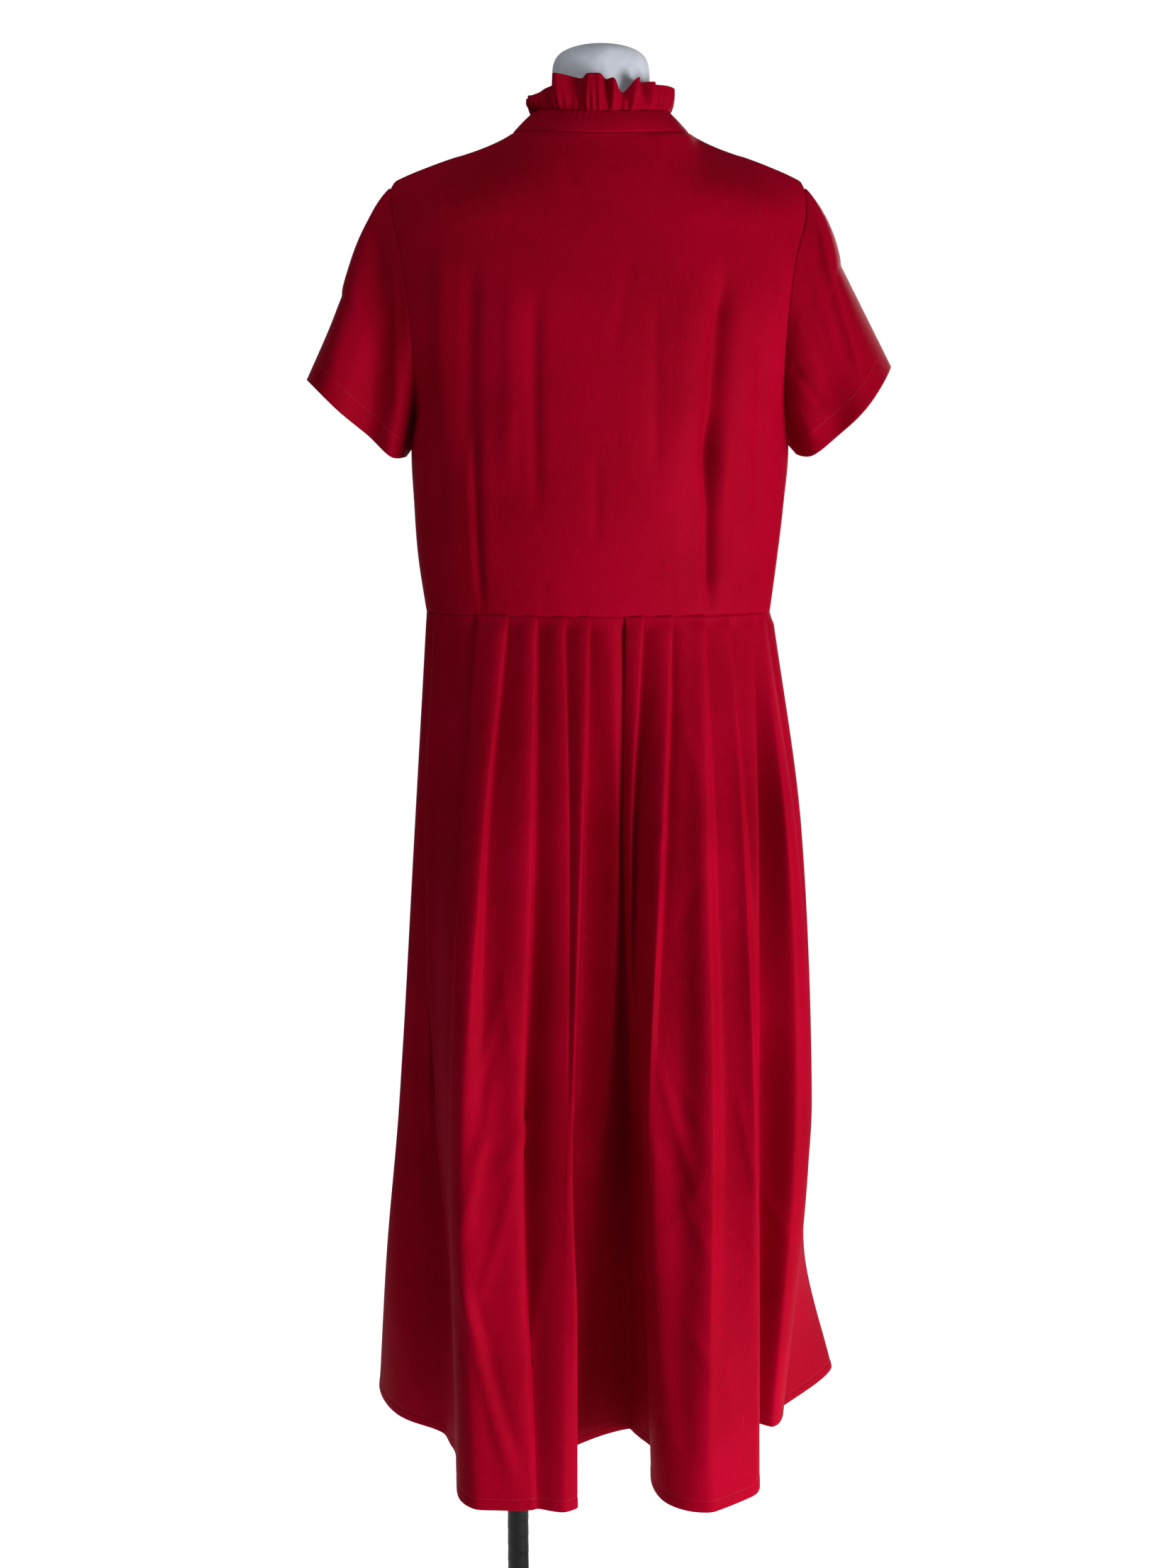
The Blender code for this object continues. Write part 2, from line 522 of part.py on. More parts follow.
# ---- collar ----
def stand_top(turn):
    back = cos(turn) > 0
    deep = STAND_BACK if back else STAND_FRONT
    drop = STAND_BACK_DROP if back else STAND_FRONT_DROP
    return Vector((STAND_HALF_WIDTH * sin(turn), deep * cos(turn), STAND_SIDE_HEIGHT - drop * cos(turn) ** 2))


def collar_turn(around):
    return (around - 0.5) * 2 * (pi - COLLAR_OPENING)


def neckline_edge(turn):
    """The neckline as the bodice panels have it: straight between their columns."""
    step = pi / BODICE_COLUMNS / NECK_SHARE
    before = floor(turn / step) * step
    return neckline(before).lerp(neckline(before + step), (turn - before) / step)


def stand_place(around, up):
    turn = collar_turn(around)
    low = neckline_edge(turn) + Vector((0, 0, SEAM_GAP * 1.5))
    point = low.lerp(stand_top(turn), up)
    return point + Vector((sin(turn), cos(turn), 0)) * (STAND_BOW * sin(pi * up))


def ruffle_place(around, up):
    """The gathered frill: its flutes grow from the stand seam to the free edge."""
    at = around * (len(RUFFLE_FLUTES) - 1)
    number = min(int(at), len(RUFFLE_FLUTES) - 2)
    turns = [row[0] for row in RUFFLE_FLUTES]
    degrees = turns[number] + (turns[number + 1] - turns[number]) * (at - number)
    flute = blend(turns, [Vector(row[1:]) * MM for row in RUFFLE_FLUTES], degrees)
    turn = collar_turn((degrees / 180 + 1) / 2)
    low = stand_top(turn) + Vector((0, 0, SEAM_GAP * 1.5))
    out = flute.x * (RUFFLE_ROOT + (1 - RUFFLE_ROOT) * up) + RUFFLE_BELLY * sin(pi * up)
    return low + Vector((sin(turn), cos(turn), 0)) * out + Vector((0, 0, flute.y * up))


def build_collar(parts, crepe):
    cloth("collar_stand", stand_place, 36, 2, parts, crepe, outward_is_up=False)
    columns = RUFFLE_FLUTE_COLUMNS * (len(RUFFLE_FLUTES) - 1)
    cloth("collar_ruffle", ruffle_place, columns, 3, parts, crepe, outward_is_up=False)


# ---- skirt ----
def fold_at(fold, height):
    """Where a fold line passes a height, as a point of that section."""
    levels = list(SKIRT_LEVELS)
    if len(fold) > len(levels) + 1:
        levels.insert(-1, SHIN_LEVEL)
    stations = [-level for level in levels]
    points = [Vector(pair) * MM for pair in fold[1:]]
    point = blend(stations, points, -height)
    return Vector((point.x, point.y, height))


def panel_columns(folds):
    """Each column as (fold number, share towards the next fold), close enough for the widest stretch."""
    columns = []
    for number in range(len(folds) - 1):
        widest = max((fold_at(folds[number + 1], height) - fold_at(folds[number], height)).length
                     for height in SKIRT_LEVELS)
        steps = max(1, ceil(widest / SKIRT_COLUMN_STEP))
        columns += [(number, step / steps) for step in range(steps)]
    return columns + [(len(folds) - 2, 1.0)]


def skirt_place(folds):
    columns = panel_columns(folds)

    def place(around, down):
        height = SKIRT_LEVELS[0] + (SKIRT_LEVELS[-1] - SKIRT_LEVELS[0]) * down ** 1.15
        number, share = columns[round(around * (len(columns) - 1))]
        line = [fold_at(fold, height) for fold in folds[max(0, number - 1):number + 3]]
        stations = [0.0]
        for before, after in zip(line, line[1:]):
            stations.append(stations[-1] + max((after - before).length, 0.001))
        first = min(number, 1)
        at = stations[first] + (stations[first + 1] - stations[first]) * share
        if number == 0 and share == 0:
            at += SEAM_GAP
        if number == len(folds) - 2 and share == 1.0:
            at -= SEAM_GAP
        return blend(stations, line, at)
    return place, len(columns) - 1


def build_skirt(parts, crepe):
    for name, folds in (("skirt_back", BACK_FOLDS), ("skirt_front", FRONT_FOLDS)):
        place, columns = skirt_place(folds)
        cloth(name, place, columns, SKIRT_ROWS, parts, crepe, outward_is_up=True)


# ---- stand ----
def build_form(parts, material):
    """The limbless torso with its neck, one smooth closed body with a flat underside."""
    def place(around, up):
        height, half_width, back, front = FORM_SECTIONS[round(up * (len(FORM_SECTIONS) - 1))]
        turn = 2 * pi * around
        depth = back if cos(turn) > 0 else front
        return Vector((half_width * sin(turn), depth * cos(turn), height)) * MM
    body = grid_on(place, FORM_RING_SIDES, len(FORM_SECTIONS) - 1, outward_is_up=False, closed=True)
    rims = [edge for edge in body.edges if edge.is_boundary]
    bmesh.ops.holes_fill(body, edges=rims, sides=0)
    bmesh.ops.recalc_face_normals(body, faces=body.faces)
    form = finish_object("form_torso", body, parts, material)
    form.data.set_sharp_from_angle(angle=radians(50))


def build_pole(parts, material):
    line = bpy.data.curves.new("pole", "CURVE")
    line.dimensions = "3D"
    run = line.splines.new("POLY")
    run.points.add(1)
    top = FORM_SECTIONS[0][0] * MM - SEAM_GAP
    run.points[0].co = (POLE_ACROSS, 0, PLATE_THICKNESS + SEAM_GAP, 1)
    run.points[1].co = (POLE_ACROSS, 0, top, 1)
    line.bevel_depth = POLE_RADIUS
    line.bevel_resolution = 4
    line.use_fill_caps = True
    line.materials.append(material)
    pole = bpy.data.objects.new("pole", line)
    parts.objects.link(pole)


def build_plate(parts, material):
    disc = bmesh.new()
    bmesh.ops.create_cone(disc, cap_ends=True, segments=40, radius1=PLATE_RADIUS, radius2=PLATE_RADIUS,
                          depth=PLATE_THICKNESS)
    plate = finish_object("foot_plate", disc, parts, material)
    plate.location = (0, 0, PLATE_THICKNESS / 2)
    rim = plate.modifiers.new("rim", "BEVEL")
    rim.width = 0.002
    rim.segments = 1
    rim.limit_method = "ANGLE"
    plate.data.set_sharp_from_angle(angle=radians(40))


def main():
    for item in list(bpy.data.objects):
        bpy.data.objects.remove(item, do_unlink=True)
    parts = bpy.data.collections.new("empire_waist_dress_on_form")
    bpy.context.scene.collection.children.link(parts)
    crepe = principled("red_crepe", (0.42, 0.004, 0.024), 0.72)
    button = principled("button_red", (0.36, 0.006, 0.022), 0.35)
    jersey = principled("form_jersey", (0.55, 0.57, 0.62), 0.85)
    tape = principled("black_tape", (0.012, 0.012, 0.013), 0.55)
    steel = principled("plate_black", (0.02, 0.02, 0.022), 0.45, 0.6)
    build_bodice(parts, crepe)
    build_buttons(parts, button)
    build_sleeves(parts, crepe)
    build_collar(parts, crepe)
    build_skirt(parts, crepe)
    build_form(parts, jersey)
    build_pole(parts, tape)
    build_plate(parts, steel)


main()
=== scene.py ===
"""The finished look of a red crepe midi dress with a ruffled stand collar, on a limbless dress form.

The wearer's front faces -Y, the wearer's left is +X, and the floor is z = 0.  Lengths are in metres; tables
are in millimetres.  The stand comes first and the dress is put together on it, piece by piece.
"""
from math import ceil, cos, exp, pi, radians, sin

import bmesh
import bpy
from mathutils import Matrix, Vector
from mathutils.bvhtree import BVHTree


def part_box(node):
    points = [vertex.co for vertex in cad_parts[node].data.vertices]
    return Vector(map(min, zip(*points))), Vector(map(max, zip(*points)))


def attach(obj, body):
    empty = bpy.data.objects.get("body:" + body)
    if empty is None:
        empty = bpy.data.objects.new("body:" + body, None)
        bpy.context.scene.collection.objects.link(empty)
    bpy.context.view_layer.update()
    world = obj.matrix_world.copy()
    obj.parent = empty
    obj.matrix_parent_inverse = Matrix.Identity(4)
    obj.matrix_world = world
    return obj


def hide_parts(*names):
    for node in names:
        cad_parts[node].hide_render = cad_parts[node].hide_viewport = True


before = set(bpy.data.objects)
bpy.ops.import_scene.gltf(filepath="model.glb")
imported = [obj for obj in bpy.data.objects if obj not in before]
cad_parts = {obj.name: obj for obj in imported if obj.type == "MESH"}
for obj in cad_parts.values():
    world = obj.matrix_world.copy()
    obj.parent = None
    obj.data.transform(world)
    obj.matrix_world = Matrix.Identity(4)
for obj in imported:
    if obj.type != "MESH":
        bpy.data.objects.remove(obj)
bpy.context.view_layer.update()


# ---- foot plate ----
# A round plate of 12 mm steel with its upper and lower rims rounded over, powder coated black all over. It
# rests on the floor and carries the pole. Its round outline is turned from half a profile.
PLATE_LOW, PLATE_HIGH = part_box("foot_plate")
PLATE_RADIUS = (PLATE_HIGH.x - PLATE_LOW.x) / 2
PLATE_RIM = 0.0028
PLATE_RIM_STEPS = 5
PLATE_TURN_STEPS = 120
POWDER_COAT = (0.018, 0.018, 0.020)
POWDER_SHEEN_SPOTS = (0.030, 0.030, 0.033)


def add_piece(name, shape, material, slot, *nodes):
    """Makes a bmesh an object at the origin that rides on the stand and may stand for nodes of the frame."""
    mesh = bpy.data.meshes.new(name)
    shape.to_mesh(mesh)
    shape.free()
    mesh.shade_smooth()
    mesh.materials.append(material)
    piece = bpy.data.objects.new(name, mesh)
    bpy.context.scene.collection.objects.link(piece)
    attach(piece, "root")
    if nodes:
        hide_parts(*nodes)
    return piece


def shader_of(name, roughness, **sockets):
    """A new material, with its node tree and its Principled shader."""
    material = bpy.data.materials.new(name)
    material.use_nodes = True
    tree = material.node_tree
    shader = tree.nodes["Principled BSDF"]
    shader.inputs["Roughness"].default_value = roughness
    for socket, value in sockets.items():
        shader.inputs[socket.replace("_", " ")].default_value = value
    return material, tree, shader


def grain_group():
    """Streaks that run along one direction and a fine pebble, from any place vector in metres."""
    group = bpy.data.node_groups.new("cloth_grain", "ShaderNodeTree")
    sockets = group.interface
    sockets.new_socket("Place", in_out="INPUT", socket_type="NodeSocketVector")
    sockets.new_socket("Streaks per metre", in_out="INPUT", socket_type="NodeSocketVector")
    sockets.new_socket("Pebbles per metre", in_out="INPUT", socket_type="NodeSocketFloat")
    sockets.new_socket("Streaks", in_out="OUTPUT", socket_type="NodeSocketFloat")
    sockets.new_socket("Pebble", in_out="OUTPUT", socket_type="NodeSocketFloat")
    given = group.nodes.new("NodeGroupInput")
    made = group.nodes.new("NodeGroupOutput")
    stretch = group.nodes.new("ShaderNodeVectorMath")
    stretch.operation = "MULTIPLY"
    streaks = group.nodes.new("ShaderNodeTexNoise")
    streaks.inputs["Scale"].default_value = 1.0
    streaks.inputs["Detail"].default_value = 3.0
    streaks.inputs["Roughness"].default_value = 0.6
    pebble = group.nodes.new("ShaderNodeTexNoise")
    pebble.inputs["Detail"].default_value = 2.0
    group.links.new(given.outputs["Place"], stretch.inputs[0])
    group.links.new(given.outputs["Streaks per metre"], stretch.inputs[1])
    group.links.new(stretch.outputs[0], streaks.inputs["Vector"])
    group.links.new(given.outputs["Place"], pebble.inputs["Vector"])
    group.links.new(given.outputs["Pebbles per metre"], pebble.inputs["Scale"])
    group.links.new(streaks.outputs["Fac"], made.inputs["Streaks"])
    group.links.new(pebble.outputs["Fac"], made.inputs["Pebble"])
    return group


GRAIN = grain_group()


def place_grain(tree, place, streaks_per_metre, pebbles_per_metre):
    grain = tree.nodes.new("ShaderNodeGroup")
    grain.node_tree = GRAIN
    grain.inputs["Streaks per metre"].default_value = streaks_per_metre
    grain.inputs["Pebbles per metre"].default_value = pebbles_per_metre
    tree.links.new(place, grain.inputs["Place"])
    return grain


def ramp_between(tree, value, low, high, low_colour, high_colour):
    """A colour that goes from one to the other as a value rises from low to high."""
    ramp = tree.nodes.new("ShaderNodeValToRGB")
    ramp.color_ramp.elements[0].position = low
    ramp.color_ramp.elements[0].color = (*low_colour, 1.0)
    ramp.color_ramp.elements[1].position = high
    ramp.color_ramp.elements[1].color = (*high_colour, 1.0)
    tree.links.new(value, ramp.inputs["Fac"])
    return ramp.outputs["Color"]


def bump_from(tree, height, strength, depth, shader):
    bump = tree.nodes.new("ShaderNodeBump")
    bump.inputs["Strength"].default_value = strength
    bump.inputs["Distance"].default_value = depth
    tree.links.new(height, bump.inputs["Height"])
    tree.links.new(bump.outputs["Normal"], shader.inputs["Normal"])
    return bump


def vary_roughness(tree, value, low, high, shader):
    spread = tree.nodes.new("ShaderNodeMapRange")
    spread.inputs["To Min"].default_value = low
    spread.inputs["To Max"].default_value = high
    tree.links.new(value, spread.inputs["Value"])
    tree.links.new(spread.outputs["Result"], shader.inputs["Roughness"])


def grained_material(name, roughness, grain_size, colour, spread, bump, **sockets):
    """A material whose colour, roughness and bump each follow the streaks or the pebble of one grain.

    grain_size is (streaks, pebbles) per metre, colour (output, low, high, low colour, high colour), spread
    (output, least, most roughness) or None, and bump (output, strength, depth).
    """
    material, tree, shader = shader_of(name, roughness, **sockets)
    place = tree.nodes.new("ShaderNodeTexCoord").outputs["Object"]
    grain = place_grain(tree, place, *grain_size)
    tree.links.new(ramp_between(tree, grain.outputs[colour[0]], *colour[1:]), shader.inputs["Base Color"])
    if spread:
        vary_roughness(tree, grain.outputs[spread[0]], *spread[1:], shader)
    bump_from(tree, grain.outputs[bump[0]], *bump[1:], shader)
    return material


def powder_coat_material():
    return grained_material("powder_coated_steel", 0.5, ((14.0, 14.0, 14.0), 1400.0),
                            ("Streaks", 0.35, 0.75, POWDER_COAT, POWDER_SHEEN_SPOTS),
                            ("Streaks", 0.38, 0.62), ("Pebble", 0.35, 0.0002))


def spun(shape, corners, steps, merged):
    """A profile spun all round the z axis, closed, with its faces outwards."""
    points = [shape.verts.new(corner) for corner in corners]
    for before, after in zip(points, points[1:]):
        shape.edges.new((before, after))
    bmesh.ops.spin(shape, geom=shape.verts[:] + shape.edges[:], cent=(0, 0, 0), axis=(0, 0, 1),
                   angle=2 * pi, steps=steps, use_merge=True)
    bmesh.ops.remove_doubles(shape, verts=shape.verts, dist=merged)
    bmesh.ops.recalc_face_normals(shape, faces=shape.faces)
    return shape


def turned_plate():
    """The plate's profile, spun all round: its upper rim is rounded over first, then its lower."""
    quarter = [pi / 2 * step / PLATE_RIM_STEPS for step in range(PLATE_RIM_STEPS + 1)]
    middle = PLATE_RADIUS - PLATE_RIM
    corners = [Vector((0, 0, PLATE_HIGH.z))]
    for turn in quarter:
        rise = PLATE_HIGH.z - PLATE_RIM + PLATE_RIM * cos(turn)
        corners.append(Vector((middle + PLATE_RIM * sin(turn), 0, rise)))
    for turn in quarter:
        corners.append(Vector((middle + PLATE_RIM * cos(turn), 0, PLATE_RIM * (1 - sin(turn)))))
    corners.append(Vector((0, 0, 0)))
    return spun(bmesh.new(), corners, PLATE_TURN_STEPS, 0.00001)


plate = add_piece("stand_foot", turned_plate(), powder_coat_material(), "plate_metal", "foot_plate")
plate.data.set_sharp_from_angle(angle=radians(30))


# ---- pole ----
# A steel tube wound from the plate up with black fabric tape, each turn lapping over the one below. It goes
# up under the skirt to the torso, off centre to the wearer's left.
POLE_LOW, POLE_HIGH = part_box("pole")
POLE_RADIUS = (POLE_HIGH.x - POLE_LOW.x) / 2
POLE_ACROSS = (POLE_HIGH.x + POLE_LOW.x) / 2
TAPE_PITCH = 0.0185
TAPE_THICKNESS = 0.00045
TAPE_EDGE_SHARE = 0.05     # share of a turn over which the tape steps down at its edge
POLE_SIDES = 40
POLE_ROWS_PER_TURN = 14
TAPE_BLACK = (0.0040, 0.0040, 0.0045)
TAPE_WORN = (0.010, 0.010, 0.011)


def grid_sheet(place, columns, rows):
    """A grid whose point (u, v), both from 0 to 1, stands at place(u, v)."""
    shape = bmesh.new()
    bmesh.ops.create_grid(shape, x_segments=columns, y_segments=rows, size=0.5)
    for point in shape.verts:
        point.co = place(point.co.x + 0.5, point.co.y + 0.5)
    return shape


def close_tube(shape):
    """Joins a rolled grid's edges and caps its two ends."""
    bmesh.ops.remove_doubles(shape, verts=shape.verts, dist=0.00002)
    rims = [edge for edge in shape.edges if edge.is_boundary]
    bmesh.ops.holes_fill(shape, edges=rims, sides=0)
    bmesh.ops.recalc_face_normals(shape, faces=shape.faces)
    return shape


def taped_pole():
    length = POLE_HIGH.z - POLE_LOW.z
    turns = length / TAPE_PITCH

    def place(around, up):
        turn = 2 * pi * around
        lap = (up * turns + around) % 1.0
        step = min(1.0, lap / TAPE_EDGE_SHARE)
        radius = POLE_RADIUS - TAPE_THICKNESS * (1 - step * (1 - 0.7 * lap))
        return Vector((POLE_ACROSS + radius * cos(turn), radius * sin(turn), POLE_LOW.z + length * up))
    return close_tube(grid_sheet(place, POLE_SIDES, round(turns * POLE_ROWS_PER_TURN)))


def tape_material():
    return grained_material("wound_black_tape", 0.5, ((130.0, 130.0, 620.0), 900.0),
                            ("Streaks", 0.4, 0.75, TAPE_BLACK, TAPE_WORN),
                            ("Pebble", 0.36, 0.6), ("Streaks", 0.3, 0.0003), Specular_IOR_Level=0.2)


pole = add_piece("taped_pole", taped_pole(), tape_material(), "pole_tape", "pole")
pole.data.set_sharp_from_angle(angle=radians(50))


# ---- torso of the form ----
# A limbless torso with a round-topped neck, covered with pale grey jersey drawn tight over it. Only the neck
# shows above the collar. One row of the table is one level section, from the hip up.
MM = 0.001
FORM_SECTIONS = (
    # height  half_width  back  front
    (1000.0, 146.0,  70.0, 76.0),
    (1012.0, 150.0,  72.0, 80.0),
    (1060.0, 142.0,  74.0, 78.0),
    (1113.0, 128.0,  74.0, 76.0),
    (1165.0, 132.0,  80.0, 82.0),
    (1216.0, 142.0,  87.0, 96.0),
    (1278.0, 152.0,  93.0, 104.0),
    (1336.0, 158.0,  93.0, 98.0),
    (1396.0, 163.0,  86.0, 84.0),
    (1440.0, 170.0,  74.0, 70.0),
    (1474.0, 176.0,  58.0, 58.0),
    (1492.0, 175.0,  48.0, 50.0),
    (1506.0, 164.0,  41.0, 39.0),
    (1517.0, 144.5,  38.0, 35.0),
    (1525.5, 125.5,  37.0, 31.8),
    (1533.5, 106.0,  37.2, 31.2),
    (1542.0, 84.0,   38.4, 34.2),
    (1549.5, 64.0,   41.0, 41.0),
    (1558.0, 52.0,   41.0, 45.0),
    (1575.0, 46.0,   40.5, 45.0),
    (1600.0, 45.0,   40.5, 45.0),
    (1613.0, 43.5,   39.5, 44.0),
    (1621.0, 38.0,   35.0, 39.0),
    (1626.0, 26.0,   25.0, 27.0),
    (1628.0, 10.0,   10.0, 10.0),
)
FORM_SIDES = 112
FORM_ROWS_PER_SECTION = 5
JERSEY_GREY = (0.46, 0.49, 0.56)
JERSEY_PALE = (0.60, 0.63, 0.70)


def blend(stations, values, at):
    """A smooth curve through values (numbers or vectors) that stand at increasing stations."""
    last = len(stations) - 1
    left = 0
    while left < last - 1 and at > stations[left + 1]:
        left += 1

    def slope(index):
        before, after = max(index - 1, 0), min(index + 1, last)
        return (values[after] - values[before]) / (stations[after] - stations[before])

    span = stations[left + 1] - stations[left]
    share = (at - stations[left]) / span
    rise = values[left + 1] - values[left]
    bend = share * (1 - share)
    curve = values[left] + rise * share
    curve += (slope(left) * span - rise) * (bend * (1 - share))
    curve += (rise - slope(left + 1) * span) * (bend * share)
    return curve


def covered_torso():
    stations = list(range(len(FORM_SECTIONS)))
    sections = [Vector(row) * MM for row in FORM_SECTIONS]

    def place(around, up):
        at = up * (len(sections) - 1)
        height, half_width, back, front = blend(stations, sections, at)
        turn = 2 * pi * around
        depth = back if cos(turn) > 0 else front
        return Vector((half_width * sin(turn), depth * cos(turn), height))
    return close_tube(grid_sheet(place, FORM_SIDES, (len(sections) - 1) * FORM_ROWS_PER_SECTION))


def jersey_material():
    return grained_material("grey_jersey", 0.85, ((1500.0, 1500.0, 520.0), 60.0),
                            ("Pebble", 0.3, 0.7, JERSEY_GREY, JERSEY_PALE),
                            ("Pebble", 0.78, 0.92), ("Streaks", 0.35, 0.0003),
                            Sheen_Weight=0.3, Sheen_Roughness=0.5)


torso = add_piece("covered_torso", covered_torso(), jersey_material(), "form_jersey", "form_torso")
torso.data.set_sharp_from_angle(angle=radians(60))


# ---- back bodice ----
# One panel of crepe from the waist seam to the collar seam, shaped by a long dart on each side of the centre.
# It hangs a little full over the form, so soft upright folds fall from the shoulder blades to the darts.
CREPE_THICKNESS = 0.0007
SEAM_GAP = 0.0003
WALL = 0.0012              # thickness of the frame's walls, on which the outer pieces are spaced
WAIST_HEIGHT = 1.113
BACK_LEVELS = (
    # level       mid_h   edge_h  depth  left_x left_y left_turn  right_x right_y right_turn
    ("waist",    (1113.3, 1113.3,  94.0, 164.0, -14.0, 100.0,     158.5,  22.0,  78.0)),
    ("rib",      (1165.0, 1165.0,  98.0, 171.0, -14.0, 100.0,     164.5,  24.0,  78.0)),
    ("chest",    (1216.0, 1213.0, 104.0, 174.0, -15.0, 100.0,     169.5,  26.0,  78.0)),
    ("underarm", (1278.0, 1270.0, 110.0, 176.5, -12.0,  98.0,     174.5,  20.0,  80.0)),
    ("blade",    (1336.0, 1325.0, 113.0, 172.5,  38.0,  68.0,     169.0,  44.0,  66.0)),
    ("back",     (1396.0, 1380.0, 110.0, 174.0,  56.0,  58.0,     170.0,  57.0,  57.0)),
    ("yoke",     (1452.0, 1432.0,  98.0, 181.0,  48.0,  58.0,     176.5,  48.0,  58.0)),
    ("shoulder", (1500.0, 1474.0,  81.0, 190.5,  28.0,  62.0,     187.5,  26.0,  62.0)),
)
UNDERARM_LEVEL = 3         # row of the table above where the armhole begins
SHOULDER_SEAM = (
    # share   across  depth  height
    (0.00, (78.0,    0.0, 1550.8)),
    (0.25, (105.0,  -0.3, 1538.8)),
    (0.62, (152.0,  -0.6, 1523.0)),
    (0.93, (188.0,  -0.9, 1508.5)),
    (1.00, (193.5,  -1.0, 1502.5)),
)
RIGHT_SHOULDER_SHORT = 0.03
NECK_SHARE = 4 / 10        # share of a panel half that ends on the neckline, the rest on the shoulder
NECK_HALF_WIDTH = 0.078
NECK_SIDE_HEIGHT = 1.5508
NECK_BACK, NECK_BACK_DROP = 0.062, 0.0092
NECK_FRONT, NECK_FRONT_DROP = 0.072, 0.043
SIDE_SEAM_SHARE = 0.0014
SHOULDER_ROLL = 0.012
SHOULDER_ROLL_DROP = 0.0016
NECK_ROLL_DROP = 0.0095
SHOULDER_SLOPE = 0.44
BODICE_COLUMNS = 170
BODICE_ROWS = 150
SEAM_ROLL = 0.00025        # the cloth dips this much where it turns into a seam
SEAM_ROLL_REACH = 0.004
RELAXING_PASSES = 40
NECK_CORNER = (0.20, 0.68, 0.72, 0.992)  # least and most share of a panel half and of its height, eased out
TURNING_WIDTH = 0.0016     # how far a sewn edge slips behind its neighbour
TURNING_DEPTH = 0.0006
BACK_CREASES = (
    # crease               from x, z          to x, z            bow   width  depth
    ("left dart",         (113.8, 1300.0), (109.0, 1108.0),      2.0,   3.4,  -3.8),
    ("left dart side",    (119.0, 1290.0), (113.0, 1118.0),      1.0,   6.5,   0.9),
    ("left dart inner",   (104.0, 1300.0), (100.0, 1125.0),      1.0,   6.5,   0.7),
    ("right dart",        (-99.0, 1310.0), (-99.5, 1108.0),      2.0,   5.2,  -6.5),
    ("right dart side",   (-113.0, 1300.0), (-114.0, 1112.0),    2.0,   7.5,   2.2),
    ("right dart inner",  (-84.0, 1300.0), (-87.0, 1120.0),      1.0,  12.0,  -2.0),
    ("left blade fold",   (113.5, 1440.0), (120.0, 1235.0),      1.5,   8.0,  -3.2),
    ("right blade fold",  (-110.5, 1432.0), (-98.5, 1205.0),     3.0,   9.0, -10.0),
    ("left armhole fold", (141.5, 1455.0), (142.5, 1255.0),      2.0,   9.0,   2.2),
    ("left inner ridge",  (78.7, 1430.0),  (85.0, 1235.0),      -2.0,   8.5,   1.5),
    ("left inner fold",   (57.4, 1415.0),  (58.0, 1195.0),       2.0,   6.5,  -2.6),
    ("left short fold",   (72.0, 1300.0),  (73.0, 1215.0),       0.5,   4.0,  -0.8),
    ("middle fold",       (3.9, 1262.0),   (4.2, 1175.0),        0.3,   4.0,  -1.4),
    ("middle slant",      (-28.0, 1440.0), (-10.0, 1335.0),      1.0,   6.0,  -0.8),
    ("right slant",       (-24.0, 1335.0), (-27.0, 1215.0),      1.0,   8.0,   0.6),
    ("right inner fold",  (-47.0, 1400.0), (-49.0, 1225.0),     -1.0,   6.0,  -1.9),
    ("right inner ridge", (-79.5, 1420.0), (-72.0, 1240.0),      2.0,  10.0,   1.7),
    ("right outer ridge", (-131.5, 1430.0), (-127.5, 1230.0),    1.5,   9.0,   1.3),
    ("right side fold",   (-146.0, 1370.0), (-144.0, 1180.0),    1.0,   5.0,  -2.0),
    ("left side fold",    (152.0, 1330.0), (150.0, 1160.0),     -1.0,   7.0,  -1.1),
    ("nape fold",         (34.0, 1520.0),  (12.0, 1455.0),       1.0,   9.0,  -0.7),
    ("left waist tuck",   (52.0, 1150.0),  (50.0, 1112.0),       0.3,   4.0,  -0.5),
    ("right waist tuck",  (-63.0, 1152.0), (-66.0, 1112.0),      0.3,   4.0,  -0.5),
)
CREPE_DEEP = (0.245, 0.0001, 0.0090)
CREPE_RED = (0.330, 0.0001, 0.0165)
CREPE_SLUB = (0.500, 0.0016, 0.0350)
CREPE_SHEEN = (1.0, 0.02, 0.14, 1.0)
SLUBS_PER_METRE = (900.0, 60.0, 1.0)
CREPE_PEBBLES_PER_METRE = 1700.0


